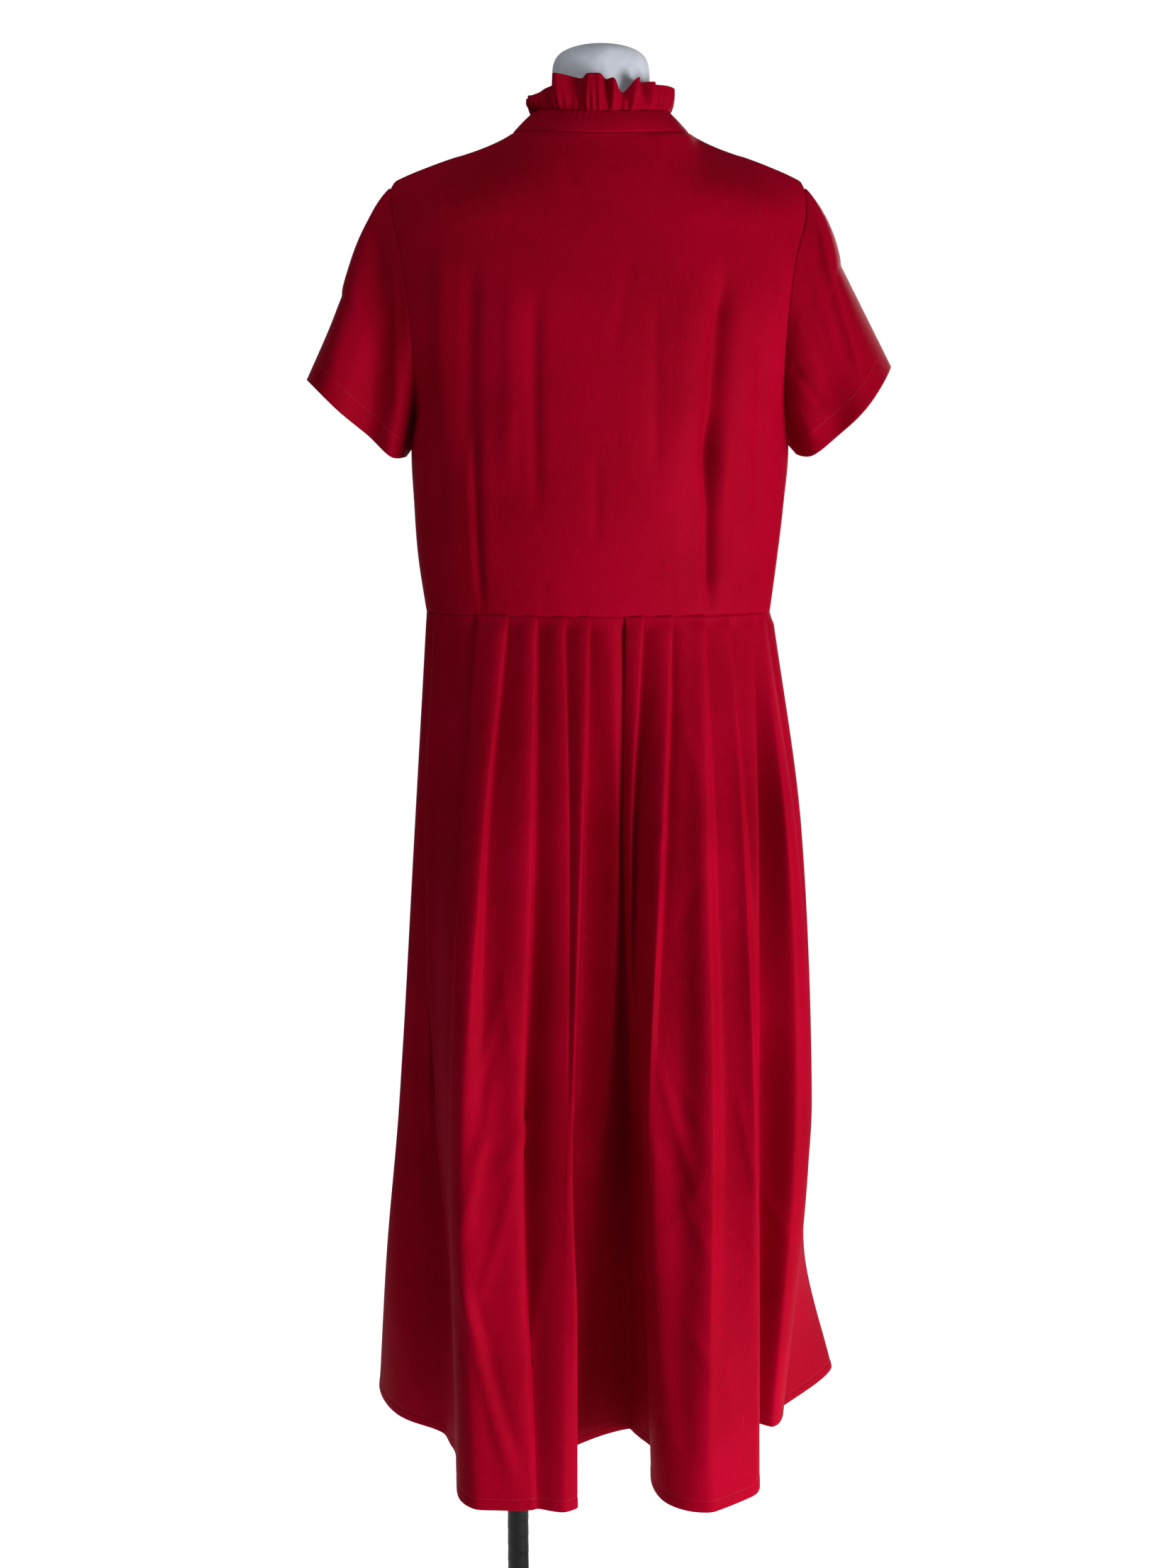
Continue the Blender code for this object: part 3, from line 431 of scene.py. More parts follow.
def crepe_material():
    """Red crepe: a pebbled surface, short upright slubs and a low pink sheen. UV is in metres of cloth."""
    material, tree, shader = shader_of("red_crepe", 0.62, Sheen_Weight=0.07, Sheen_Roughness=0.40,
                                       Sheen_Tint=CREPE_SHEEN, Specular_IOR_Level=0.015)
    place = tree.nodes.new("ShaderNodeUVMap")
    place.uv_map = "cloth"
    grain = place_grain(tree, place.outputs["UV"], SLUBS_PER_METRE, CREPE_PEBBLES_PER_METRE)
    cloudy = tree.nodes.new("ShaderNodeTexNoise")
    cloudy.inputs["Scale"].default_value = 7.0
    cloudy.inputs["Detail"].default_value = 3.0
    tree.links.new(place.outputs["UV"], cloudy.inputs["Vector"])
    ground = ramp_between(tree, cloudy.outputs["Fac"], 0.30, 0.70, CREPE_DEEP, CREPE_RED)
    slubs = tree.nodes.new("ShaderNodeMapRange")
    slubs.inputs["From Min"].default_value = 0.56
    slubs.inputs["From Max"].default_value = 0.78
    slubs.inputs["To Max"].default_value = 0.5
    tree.links.new(grain.outputs["Streaks"], slubs.inputs["Value"])
    mix = tree.nodes.new("ShaderNodeMix")
    mix.data_type = "RGBA"
    mix.inputs["B"].default_value = (*CREPE_SLUB, 1.0)
    tree.links.new(slubs.outputs["Result"], mix.inputs["Factor"])
    tree.links.new(ground, mix.inputs["A"])
    tree.links.new(mix.outputs["Result"], shader.inputs["Base Color"])
    vary_roughness(tree, grain.outputs["Streaks"], 0.52, 0.72, shader)
    height = tree.nodes.new("ShaderNodeMath")
    height.operation = "ADD"
    tree.links.new(grain.outputs["Streaks"], height.inputs[0])
    tree.links.new(grain.outputs["Pebble"], height.inputs[1])
    bump_from(tree, height.outputs["Value"], 0.32, 0.0003, shader)
    return material


CREPE = crepe_material()


def crease_height(rows, across, along):
    """What a table of creases adds at a point of a panel, in metres: ridges are above 0, troughs below."""
    height = 0.0
    for _, start, end, bow, width, depth in rows:
        run_x, run_z = end[0] - start[0], end[1] - start[1]
        length = (run_x ** 2 + run_z ** 2) ** 0.5
        off_x, off_z = across / MM - start[0], along / MM - start[1]
        share = (off_x * run_x + off_z * run_z) / length ** 2
        if not 0.0 < share < 1.0:
            continue
        side = (off_x * run_z - off_z * run_x) / length + bow * 4 * share * (1 - share)
        if abs(side) < 3 * width:
            height += depth * exp(-(side / width) ** 2) * min(1.0, 2.2 * sin(pi * share) ** 1.5)
    return height * MM


def crepe_sheet(name, place, columns, rows, cut, relief=None, turned=False, rolled=False, weave=None,
                relaxed=None):
    """A thin shell of crepe: its outer face is place(u, v), pressed in or out along its normals by relief.

    cut is the panel's flat width and length in metres, which sets the scale of the weave unless weave(u, v)
    does. Where relaxed(u, v) is true, the cloth's corners are eased out first.
    """
    shape = bmesh.new()
    bmesh.ops.create_grid(shape, x_segments=columns, y_segments=rows, size=0.5)
    cloth_map = shape.loops.layers.uv.new("cloth")
    share_u = shape.verts.layers.float.new("u")
    share_v = shape.verts.layers.float.new("v")
    for point in shape.verts:
        point[share_u], point[share_v] = point.co.x + 0.5, point.co.y + 0.5
        point.co = place(point[share_u], point[share_v])
    for face in shape.faces:
        for loop in face.loops:
            u, v = loop.vert[share_u], loop.vert[share_v]
            loop[cloth_map].uv = weave(u, v) if weave else (u * cut[0], v * cut[1])
    if rolled:
        bmesh.ops.remove_doubles(shape, verts=shape.verts, dist=0.00002)
    if turned:
        bmesh.ops.reverse_faces(shape, faces=shape.faces)
    if relaxed:
        eased_points = [point for point in shape.verts if relaxed(point[share_u], point[share_v])]
        for _ in range(RELAXING_PASSES):
            bmesh.ops.smooth_vert(shape, verts=eased_points, factor=0.5, use_axis_x=True, use_axis_y=True,
                                  use_axis_z=True)
    shape.normal_update()
    if relief:
        pressed = [(point, point.normal * relief(point.co, point[share_u], point[share_v]))
                   for point in shape.verts]
        for point, move in pressed:
            point.co += move
    piece = add_piece(name, shape, CREPE, "dress_crepe", name.replace("_crepe", ""))
    wall = piece.modifiers.new("thickness", "SOLIDIFY")
    wall.thickness = CREPE_THICKNESS
    wall.offset = -1.0
    return piece


def neckline(turn):
    """The collar seam; turn is 0 at the centre back, a quarter turn at the side, pi at the front."""
    deep, drop = (NECK_BACK, NECK_BACK_DROP) if cos(turn) > 0 else (NECK_FRONT, NECK_FRONT_DROP)
    return Vector((NECK_HALF_WIDTH * sin(turn), deep * cos(turn), NECK_SIDE_HEIGHT - drop * cos(turn) ** 2))


def shoulder_seam(side, share):
    point = blend([row[0] for row in SHOULDER_SEAM], [Vector(row[1]) * MM for row in SHOULDER_SEAM], share)
    if side < 0:
        point.x *= 1 - RIGHT_SHOULDER_SHORT * share
    point.x *= side
    return point


def level_point(level, side, share):
    """A point on one level of a bodice panel: share is 0 at its middle and 1 at the side."""
    middle_height, edge_height, depth, left_x, left_y, left_turn, right_x, right_y, right_turn = level[1]
    edge_x, edge_y, turn = (left_x, left_y, left_turn) if side > 0 else (right_x, right_y, right_turn)
    full = radians(turn)
    angle = share * full
    across = side * edge_x * sin(angle) / sin(full)
    outward = edge_y + (depth - edge_y) * (cos(angle) - cos(full)) / (1 - cos(full))
    height = middle_height + (edge_height - middle_height) * share ** 2
    return Vector((across, outward, height)) * MM


def bodice_column(levels, side, share):
    """The points that one upright line of a bodice panel runs through, from the waist to its top seam."""
    outward = 1 if levels is BACK_LEVELS else -1
    if share < NECK_SHARE:
        turn = share / NECK_SHARE * pi / 2
        top = neckline(side * (turn if levels is BACK_LEVELS else pi - turn))
        lean = turn / 2
        steep = cos(turn) ** 2
    else:
        along = (share - NECK_SHARE) / (1 - NECK_SHARE)
        top = shoulder_seam(side, along)
        lean = pi / 4 * (1 - along) ** 3
        steep = 0.0
    reach = SHOULDER_ROLL * (1 - 0.6 * steep)
    drop = SHOULDER_ROLL_DROP + SHOULDER_SLOPE * reach * sin(lean) + NECK_ROLL_DROP * steep
    roll = top + Vector((side * reach * sin(lean), outward * reach * cos(lean), -drop))
    return [level_point(level, side, share) for level in levels] + [roll, top]


def bodice_point(levels, side, share, rise):
    """rise runs from 0 at the waist seam to 1 at the neckline and the shoulder seam."""
    points = bodice_column(levels, side, share)
    at = rise * (len(points) - 1)
    smooth = blend(list(range(len(points))), points, at)
    corner = UNDERARM_LEVEL
    if at <= corner:
        turned = blend(list(range(corner + 1)), points[:corner + 1], at)
    else:
        turned = blend(list(range(corner, len(points))), points[corner:], at)
    return smooth.lerp(turned, share ** 8)


def panel_point(levels, side, share, rise):
    """A bodice point kept half a gap short of the side seam and of the shoulder seam."""
    point = bodice_point(levels, side, min(share, 1 - SIDE_SEAM_SHARE), min(rise, 1.0))
    if rise > 0.999 and share >= NECK_SHARE:
        point.y += SEAM_GAP if levels is BACK_LEVELS else -SEAM_GAP
    return point


def seam_dip(distance):
    """How far the cloth dips at this distance from a seam, in metres."""
    return -SEAM_ROLL * exp(-(distance / SEAM_ROLL_REACH) ** 2 * 3)


def back_place(across, rise):
    side = 1 if across > 0.5 else -1
    return panel_point(BACK_LEVELS, side, abs(across - 0.5) * 2, rise)


def by_neck_corner(share, rise):
    """True on the part of a panel half that lies below the corner where the neckline meets the shoulder."""
    return NECK_CORNER[0] < share < NECK_CORNER[1] and NECK_CORNER[2] < rise < NECK_CORNER[3]


BACK_CUT = (0.452, 0.438)


def back_relief(point, u, v):
    edge = min(u, 1 - u) * BACK_CUT[0]
    ends = min(v, 1 - v) * BACK_CUT[1]
    return crease_height(BACK_CREASES, point.x, point.z) + seam_dip(edge) + seam_dip(ends)


back_bodice = crepe_sheet("bodice_back_crepe", back_place, BODICE_COLUMNS, BODICE_ROWS, BACK_CUT,
                          relief=back_relief, turned=True,
                          relaxed=lambda u, v: by_neck_corner(abs(u - 0.5) * 2, v))


# ---- front bodice ----
# Two panels that meet under the placket, hung like the back and with the same darts from the waist. The photo
# hides them, so their few soft folds are only like those of the back.
FRONT_LEVELS = (
    ("waist",    (1113.3, 1113.3, -94.0, 164.0, -14.0,  80.0,     158.5,  22.0, 102.0)),
    ("rib",      (1165.0, 1165.0, -102.0, 171.0, -14.0,  80.0,    164.5,  24.0, 102.0)),
    ("chest",    (1218.0, 1213.0, -116.0, 174.0, -15.0,  80.0,    169.5,  26.0, 102.0)),
    ("underarm", (1280.0, 1270.0, -122.0, 176.5, -12.0,  82.0,    174.5,  20.0, 100.0)),
    ("bust",     (1334.0, 1325.0, -119.0, 166.0, -46.0,  62.0,    164.0, -38.0,  64.0)),
    ("chest_top", (1388.0, 1380.0, -108.0, 165.0, -52.0,  56.0,   163.0, -50.0,  56.0)),
    ("throat",   (1434.0, 1432.0, -95.0, 174.0, -44.0,  58.0,     171.0, -44.0,  58.0)),
    ("shoulder", (1474.0, 1474.0, -83.0, 187.0, -26.0,  62.0,     184.5, -26.0,  62.0)),
)
FRONT_CREASES = (
    ("left dart",         (92.0, 1268.0),  (86.0, 1108.0),       2.0,   1.7,  -1.4),
    ("left dart side",    (99.0, 1262.0),  (93.0, 1116.0),       1.0,   6.5,   0.9),
    ("left dart inner",   (83.0, 1264.0),  (79.0, 1122.0),       1.0,   6.0,   0.7),
    ("right dart",        (-93.0, 1272.0), (-87.0, 1108.0),     -2.0,   1.7,  -1.4),
    ("right dart side",   (-101.0, 1262.0), (-94.0, 1116.0),    -1.0,   6.5,   1.0),
    ("right dart inner",  (-84.0, 1266.0), (-79.0, 1122.0),     -1.0,   6.0,   0.6),
    ("left chest fold",   (120.0, 1425.0), (112.0, 1285.0),      3.0,   9.0,  -1.9),
    ("right chest fold",  (-124.0, 1418.0), (-110.0, 1275.0),   -3.0,   8.5,  -2.2),
    ("left armhole fold", (150.0, 1410.0), (141.0, 1240.0),      2.0,   9.0,   1.4),
    ("right arm fold",    (-150.0, 1400.0), (-143.0, 1225.0),   -2.0,   8.0,   1.5),
    ("left throat fold",  (44.0, 1450.0),  (56.0, 1320.0),       2.0,   8.0,  -1.2),
    ("right throat fold", (-40.0, 1456.0), (-58.0, 1335.0),      2.0,   8.0,  -1.1),
    ("left waist ridge",  (52.0, 1240.0),  (50.0, 1122.0),      -1.0,   8.0,   0.9),
    ("right waist ridge", (-56.0, 1250.0), (-52.0, 1122.0),      1.0,   9.0,   0.9),
    ("left side slant",   (160.0, 1262.0), (118.0, 1225.0),      3.0,   6.0,  -1.0),
    ("right side slant",  (-160.0, 1258.0), (-120.0, 1216.0),    3.0,   6.0,  -1.1),
)
FRONT_CUT = (0.228, 0.445)


def front_place(side):
    def place(share, rise):
        point = panel_point(FRONT_LEVELS, side, share, rise)
        point.x += side * SEAM_GAP
        if share > 0.999 and rise < 0.999:
            point += Vector((-side * TURNING_DEPTH, TURNING_WIDTH, 0))
        elif rise > 0.999 and share >= NECK_SHARE:
            point += Vector((0, TURNING_WIDTH, -TURNING_DEPTH))
        return point
    return place


def front_relief(point, u, v):
    edge = (1 - u) * FRONT_CUT[0]
    ends = min(v, 1 - v) * FRONT_CUT[1]
    return crease_height(FRONT_CREASES, point.x, point.z) + seam_dip(edge) + seam_dip(ends)


for name, side in (("bodice_front_left_crepe", 1), ("bodice_front_right_crepe", -1)):
    front = crepe_sheet(name, front_place(side), BODICE_COLUMNS // 2, BODICE_ROWS, FRONT_CUT,
                        relief=front_relief, turned=side < 0, relaxed=by_neck_corner)


# ---- placket ----
# A folded band of the same crepe down the centre front, from the waist seam to the collar, topstitched along
# both edges with matching thread.
PLACKET_HALF_SHARE = 0.048
PLACKET_LOWEST, PLACKET_HIGHEST = 0.004, 0.994
PLACKET_CUT = (0.0245, 0.402)
PLACKET_COLUMNS = 16
PLACKET_ROWS = 150
PLACKET_STITCH_INSET = 0.18  # of the band's half width
STITCH_PITCH = 0.0028
STITCH_LENGTH = 0.0022
STITCH_WIDTH = 0.00045
STITCH_HEIGHT = 0.00035
THREAD_RED = (0.30, 0.0015, 0.016)


def front_face(side, share, rise, lift):
    """A point of the front panels moved out by lift along their own slope, with that slope's normal."""
    step = 0.002
    here = bodice_point(FRONT_LEVELS, side, share, rise)
    lower = bodice_point(FRONT_LEVELS, side, share, max(rise - step, 0))
    upper = bodice_point(FRONT_LEVELS, side, share, min(rise + step, 1))
    beside = bodice_point(FRONT_LEVELS, side, share + step, rise)
    normal = (upper - lower).cross(beside - here) * side
    normal.normalize()
    if normal.y > 0:
        normal.negate()
    return here + normal * lift, normal


def placket_place(across, rise):
    side = 1 if across > 0.5 else -1
    share = abs(across - 0.5) * 2 * PLACKET_HALF_SHARE
    return front_face(side, share, min(max(rise, PLACKET_LOWEST), PLACKET_HIGHEST), WALL + SEAM_GAP)[0]


def placket_relief(point, u, v):
    edge = min(u, 1 - u) * PLACKET_CUT[0]
    stitched = abs(edge - PLACKET_STITCH_INSET * PLACKET_CUT[0] / 2)
    return 0.00018 * sin(v * 61.0) * sin(pi * u) - 0.00022 * exp(-(stitched / 0.0006) ** 2)


def thread_material():
    return grained_material("red_thread", 0.55, ((2600.0, 2600.0, 2600.0), 5000.0),
                            ("Streaks", 0.3, 0.7, CREPE_DEEP, THREAD_RED),
                            None, ("Pebble", 0.3, 0.0001), Sheen_Weight=0.15)


THREAD = thread_material()


def stitches(name, routes, pitch=STITCH_PITCH, length=STITCH_LENGTH):
    """Rows of machine stitches, as one mesh; a route is a list of (point, normal) pairs."""
    shape = bmesh.new()
    grain_of_thread = bmesh.new()
    bmesh.ops.create_uvsphere(grain_of_thread, u_segments=6, v_segments=4, radius=1.0)
    single = bpy.data.meshes.new("single_stitch")
    grain_of_thread.to_mesh(single)
    grain_of_thread.free()
    for route in routes:
        travelled = 0.0
        for (before, normal), (after, _) in zip(route, route[1:]):
            run = (after - before).length
            while travelled < run and run > 0:
                along = (after - before) / run
                out = (normal - along * normal.dot(along)).normalized()
                across = along.cross(out)
                turn = Matrix((along, across, out)).transposed().to_4x4()
                size = Matrix.Diagonal((length / 2, STITCH_WIDTH / 2, STITCH_HEIGHT / 2, 1.0))
                seat = Matrix.Translation(before + along * travelled + out * STITCH_HEIGHT * 0.2)
                stitch = single.copy()
                stitch.transform(seat @ turn @ size)
                shape.from_mesh(stitch)
                bpy.data.meshes.remove(stitch)
                travelled += pitch
            travelled -= run
    bpy.data.meshes.remove(single)
    return add_piece(name, shape, THREAD, "dress_crepe")


def laid_on(piece, route):
    """A route brought onto a piece's outer face, with that face's own normals."""
    faces = BVHTree.FromPolygons([point.co for point in piece.data.vertices],
                                 [face.vertices for face in piece.data.polygons])
    laid = []
    for point, normal in route:
        seat, facing, _, _ = faces.find_nearest(point)
        laid.append((seat, facing if facing.dot(normal) > 0 else -facing))
    return laid


placket = crepe_sheet("front_placket_crepe", placket_place, PLACKET_COLUMNS, PLACKET_ROWS, PLACKET_CUT,
                      relief=placket_relief)
placket_routes = []
for side in (1, -1):
    share = PLACKET_HALF_SHARE * (1 - PLACKET_STITCH_INSET)
    heights = [0.006 + 0.985 * step / 80 for step in range(81)]
    edge_line = [front_face(side, share, rise, WALL + SEAM_GAP) for rise in heights]
    placket_routes.append(laid_on(placket, edge_line))
stitches("placket_stitching", placket_routes)


# ---- buttons ----
# Six small dyed buttons evenly spaced down the placket, each turned with a raised rim round a sunk middle and
# sewn on there with two bars of thread, over an upright buttonhole worked in close stitches.
BUTTON_RADIUS = 0.0055
BUTTON_THICKNESS = 0.0022
BUTTON_COUNT = 6
BUTTON_LOWEST, BUTTON_HIGHEST = 0.06, 0.94
BUTTON_STANDS_OFF = 0.0004
BUTTON_TURN_STEPS = 40
BUTTON_THREAD_OFFSET = 0.00125
BUTTON_PROFILE = (
    # out and rise, as shares of the radius and the thickness
    (0.0, 0.42), (0.50, 0.42), (0.62, 0.50), (0.74, 0.86), (0.86, 1.0),
    (0.96, 0.84), (1.0, 0.5), (0.97, 0.12), (0.88, 0.0), (0.0, 0.0),
)
BUTTONHOLE_HALF_LENGTH = 0.0072
BUTTONHOLE_HALF_WIDTH = 0.0011
BUTTON_RED = (0.30, 0.0025, 0.0150)
BUTTON_CLOUD = (0.42, 0.0060, 0.0260)


def button_material():
    return grained_material("dyed_button", 0.3, ((260.0, 260.0, 260.0), 3200.0),
                            ("Streaks", 0.35, 0.7, BUTTON_RED, BUTTON_CLOUD),
                            ("Pebble", 0.24, 0.4), ("Pebble", 0.1, 0.0001),
                            Coat_Weight=0.25, Coat_Roughness=0.2)


def button_at(seat, facing):
    """A turned button with a raised rim and a sunk middle, seated on its underside."""
    corners = [(out * BUTTON_RADIUS, 0, rise * BUTTON_THICKNESS) for out, rise in BUTTON_PROFILE]
    shape = spun(bmesh.new(), corners, BUTTON_TURN_STEPS, 0.000005)
    bmesh.ops.transform(shape, matrix=Matrix.Translation(seat) @ facing, verts=shape.verts)
    return shape


def button_rise(number):
    """The share of the front's height at which a button sits, so that all are evenly spaced up it."""
    lowest = bodice_point(FRONT_LEVELS, 1, 0.0, BUTTON_LOWEST).z
    highest = bodice_point(FRONT_LEVELS, 1, 0.0, BUTTON_HIGHEST).z
    wanted = lowest + (highest - lowest) * number / (BUTTON_COUNT - 1)
    low, high = BUTTON_LOWEST, BUTTON_HIGHEST
    for _ in range(20):
        middle = (low + high) / 2
        if bodice_point(FRONT_LEVELS, 1, 0.0, middle).z < wanted:
            low = middle
        else:
            high = middle
    return low


def thread_cross(shape, seat, facing):
    """The sewing thread in a button's sunk middle: two short parallel bars."""
    for side in (-1, 1):
        middle = Vector((side * BUTTON_THREAD_OFFSET, 0, BUTTON_THICKNESS * 0.50))
        bar = Matrix.Translation(middle) @ Matrix.Diagonal((0.0004, BUTTON_THREAD_OFFSET * 1.25, 0.0004, 1.0))
        bmesh.ops.create_uvsphere(shape, u_segments=10, v_segments=8, radius=1.0,
                                  matrix=Matrix.Translation(seat) @ facing @ bar)


BUTTON_DYE = button_material()
button_threads = bmesh.new()
buttonhole_routes = []
for number in range(BUTTON_COUNT):
    seat, normal = front_face(1, 0.0, button_rise(number), WALL + SEAM_GAP * 2 + BUTTON_STANDS_OFF)
    facing = normal.to_track_quat("Z", "Y").to_matrix().to_4x4()
    button = add_piece(f"sewn_button_{number + 1}", button_at(seat, facing), BUTTON_DYE, "button",
                       f"button_{number + 1}")
    button.data.set_sharp_from_angle(angle=radians(50))
    thread_cross(button_threads, seat, facing)
    upward = Vector((0, 0, 1)) - normal * normal.z
    upward.normalize()
    sideways = upward.cross(normal)
    hole = []
    for step in range(25):
        turn = 2 * pi * step / 24
        point = seat - normal * 0.0006
        point += upward * BUTTONHOLE_HALF_LENGTH * cos(turn) + sideways * BUTTONHOLE_HALF_WIDTH * sin(turn)
        hole.append((point, normal))
    buttonhole_routes.append(hole)
add_piece("button_thread", button_threads, THREAD, "dress_crepe")
stitches("buttonhole_stitching", buttonhole_routes, pitch=0.0007, length=0.0009)


# ---- sleeves ----
# Short set-in sleeves, each one panel with its seam under the arm. With no arm in it the head stands a little
# full and the sleeve falls flat below, cut slanting at the hem, which is turned up 20 mm and stitched.
CUFF_LEFT = (
    # round    across  depth   height
    (0.000, (184.0,   -2.0, 1259.0)),
    (0.110, (195.0,   36.0, 1258.0)),
    (0.220, (217.0,   30.0, 1278.0)),
    (0.310, (242.0,   50.0, 1300.0)),
    (0.400, (264.0,   42.0, 1321.0)),
    (0.500, (277.0,   -8.0, 1330.0)),
    (0.640, (258.0,  -52.0, 1312.0)),
    (0.780, (224.0,  -64.0, 1282.0)),
    (0.900, (196.0,  -42.0, 1262.0)),
)
CUFF_RIGHT = (
    (0.000, (184.0,   12.0, 1261.0)),
    (0.110, (196.0,   42.0, 1259.0)),
    (0.230, (218.0,   54.0, 1277.0)),
    (0.340, (240.0,   66.0, 1299.0)),
    (0.420, (258.0,   46.0, 1322.0)),
    (0.500, (276.0,  -18.0, 1344.0)),
    (0.640, (262.0,  -56.0, 1330.0)),
    (0.780, (228.0,  -66.0, 1292.0)),
    (0.900, (197.0,  -42.0, 1266.0)),
)
SLEEVE_CROWN_LEFT, SLEEVE_CROWN_LEFT_END = 0.0105, 0.56    # how far the head stands out, and where that ends
SLEEVE_CROWN_RIGHT, SLEEVE_CROWN_RIGHT_END = 0.0080, 0.42
SLEEVE_CROWN_WAY = Vector((0.66, 0.0, 0.75))
SLEEVE_BELLY = 0.007
SLEEVE_BELLY_LEFT_BACK = 0.001
SLEEVE_STANDS_OFF = 0.06
SLEEVE_STANDS_MORE = 0.04
SLEEVE_COLUMNS = 200
SLEEVE_ROWS = 84
SLEEVE_HEM = 0.020
SLEEVE_CUT = (0.47, 0.19)
SLEEVE_BACK_CREASES = (
    ("left fall",        (208.0, 1492.0), (210.0, 1272.0),     -2.0,  14.0,  -5.0),
    ("left fall edge",   (230.0, 1440.0), (250.0, 1300.0),      1.0,  10.0,   2.0),
    ("left seam pull",   (186.0, 1440.0), (188.0, 1292.0),      1.0,   4.5,   1.3),
    ("right edge fold",  (-196.3, 1480.0), (-241.0, 1318.0),    3.0,   3.2,   2.2),
    ("right edge dip",   (-191.0, 1460.0), (-232.0, 1322.0),    3.0,   6.0,  -1.8),
    ("right pull",       (-174.0, 1392.0), (-206.0, 1318.0),    3.0,   5.5,   1.3),
    ("right pull two",   (-184.0, 1416.0), (-214.0, 1344.0),    2.0,   5.0,  -1.2),
    ("right pull three", (-171.0, 1346.0), (-210.0, 1298.0),    3.0,   5.0,  -1.9),
    ("right pull four",  (-172.0, 1318.0), (-200.0, 1272.0),    2.0,   5.0,   1.2),
    ("right underarm",   (-170.0, 1300.0), (-184.0, 1268.0),    1.0,   4.0,  -1.0),
)
SLEEVE_FRONT_CREASES = (
    ("left fall",        (196.0, 1462.0), (214.0, 1292.0),      2.0,   8.0,  -2.4),
    ("left outer fold",  (212.0, 1446.0), (238.0, 1308.0),     -1.0,   6.0,   1.3),
    ("left pull",        (178.0, 1380.0), (204.0, 1310.0),     -2.0,   5.0,   1.1),
    ("left pull two",    (172.0, 1336.0), (196.0, 1280.0),     -2.0,   5.0,  -1.1),
    ("right fall",       (-192.0, 1458.0), (-210.0, 1300.0),   -2.0,   8.0,  -2.4),
    ("right outer fold", (-208.0, 1440.0), (-238.0, 1316.0),    1.0,   5.5,   1.4),
    ("right pull",       (-176.0, 1386.0), (-206.0, 1314.0),    2.0,   5.5,   1.1),
    ("right pull two",   (-171.0, 1332.0), (-196.0, 1284.0),    2.0,   5.0,  -1.2),
)


def armhole(side, around):
    """The armhole seam: 0 at the underarm, 0.5 at the shoulder tip by way of the back, 1 underarm again."""
    levels = BACK_LEVELS if around <= 0.5 else FRONT_LEVELS
    upward = min(around, 1 - around) * 2
    start = UNDERARM_LEVEL / (len(BACK_LEVELS) + 1)
    return bodice_point(levels, side, 1.0, start + (1 - start) * upward)


def sleeve_hem(rows, side, around):
    stations = [row[0] for row in rows] + [1.0]
    points = [Vector(row[1]) * MM for row in rows]
    stations = [stations[-2] - 1.0] + stations + [1.0 + stations[1]]
    points = [points[-1]] + points + [points[0], points[1]]
    point = blend(stations, points, around)
    return Vector((side * point.x, point.y, point.z))


def sleeve_place(side):
    rows = CUFF_LEFT if side > 0 else CUFF_RIGHT
    head, head_end = SLEEVE_CROWN_RIGHT, SLEEVE_CROWN_RIGHT_END
    if side > 0:
        head, head_end = SLEEVE_CROWN_LEFT, SLEEVE_CROWN_LEFT_END

    def place(around, down):
        seam = armhole(side, around)
        hem = sleeve_hem(rows, side, around)
        upward = -cos(2 * pi * around)
        seam.x += side * (WALL + SEAM_GAP) * (SLEEVE_STANDS_OFF - SLEEVE_STANDS_MORE * upward)
        point = seam.lerp(hem, down)
        crown = head * max(0.0, upward) ** 1.5 * max(0.0, sin(pi * min(1.0, down / head_end))) ** 0.7
        point += Vector((side * SLEEVE_CROWN_WAY.x, 0.0, SLEEVE_CROWN_WAY.z)) * crown
        belly = SLEEVE_BELLY_LEFT_BACK if side > 0 and around < 0.5 else SLEEVE_BELLY
        point.y += belly * sin(2 * pi * around) * sin(pi * down)
        if down < 0.001:
            point -= Vector((side * TURNING_WIDTH, TURNING_DEPTH * sin(2 * pi * around),
                             TURNING_DEPTH * upward))
        return point
    return place


def hem_share(side, around):
    """Share of the sleeve's length, at a place round it, where the hem's stitching runs."""
    place = sleeve_place(side)
    length = (place(around, 1.0) - place(around, 0.0)).length
    return 1.0 - min(0.45, SLEEVE_HEM / max(length, 0.001))


def sleeve_relief(point, u, v):
    rows = SLEEVE_BACK_CREASES if u < 0.5 else SLEEVE_FRONT_CREASES
    facing = min(1.0, 4 * sin(pi * 2 * min(u, 1 - u)))
    free = min(1.0, v * 5)
    height = crease_height(rows, point.x, point.z) * facing * free
    return height + seam_dip(v * SLEEVE_CUT[1] * 0.7) * 0.6


def sleeve_stitch_route(side):
    """The line of a sleeve hem's stitching, with normals into the cloth, as it is drawn in."""
    place = sleeve_place(side)
    route = []
    for step in range(181):
        around = step / 180
        if hem_share(side, around) < 0.6:
            continue
        share = hem_share(side, around)
        here = place(around, share)
        along = place(min(around + 0.004, 1.0), share) - place(max(around - 0.004, 0.0), share)
        down = place(around, 1.0) - place(around, share - 0.05)
        normal = down.cross(along) * side
        normal.normalize()
        route.append((here + normal * 0.0002, normal))
    return route


sleeve_routes = []
for name, side in (("sleeve_left_crepe", 1), ("sleeve_right_crepe", -1)):
    sleeve = crepe_sheet(name, sleeve_place(side), SLEEVE_COLUMNS, SLEEVE_ROWS, SLEEVE_CUT,
                         relief=sleeve_relief, turned=side < 0, rolled=True)
    sleeve_routes.append(laid_on(sleeve, sleeve_stitch_route(side)))
stitches("sleeve_hem_stitching", sleeve_routes)


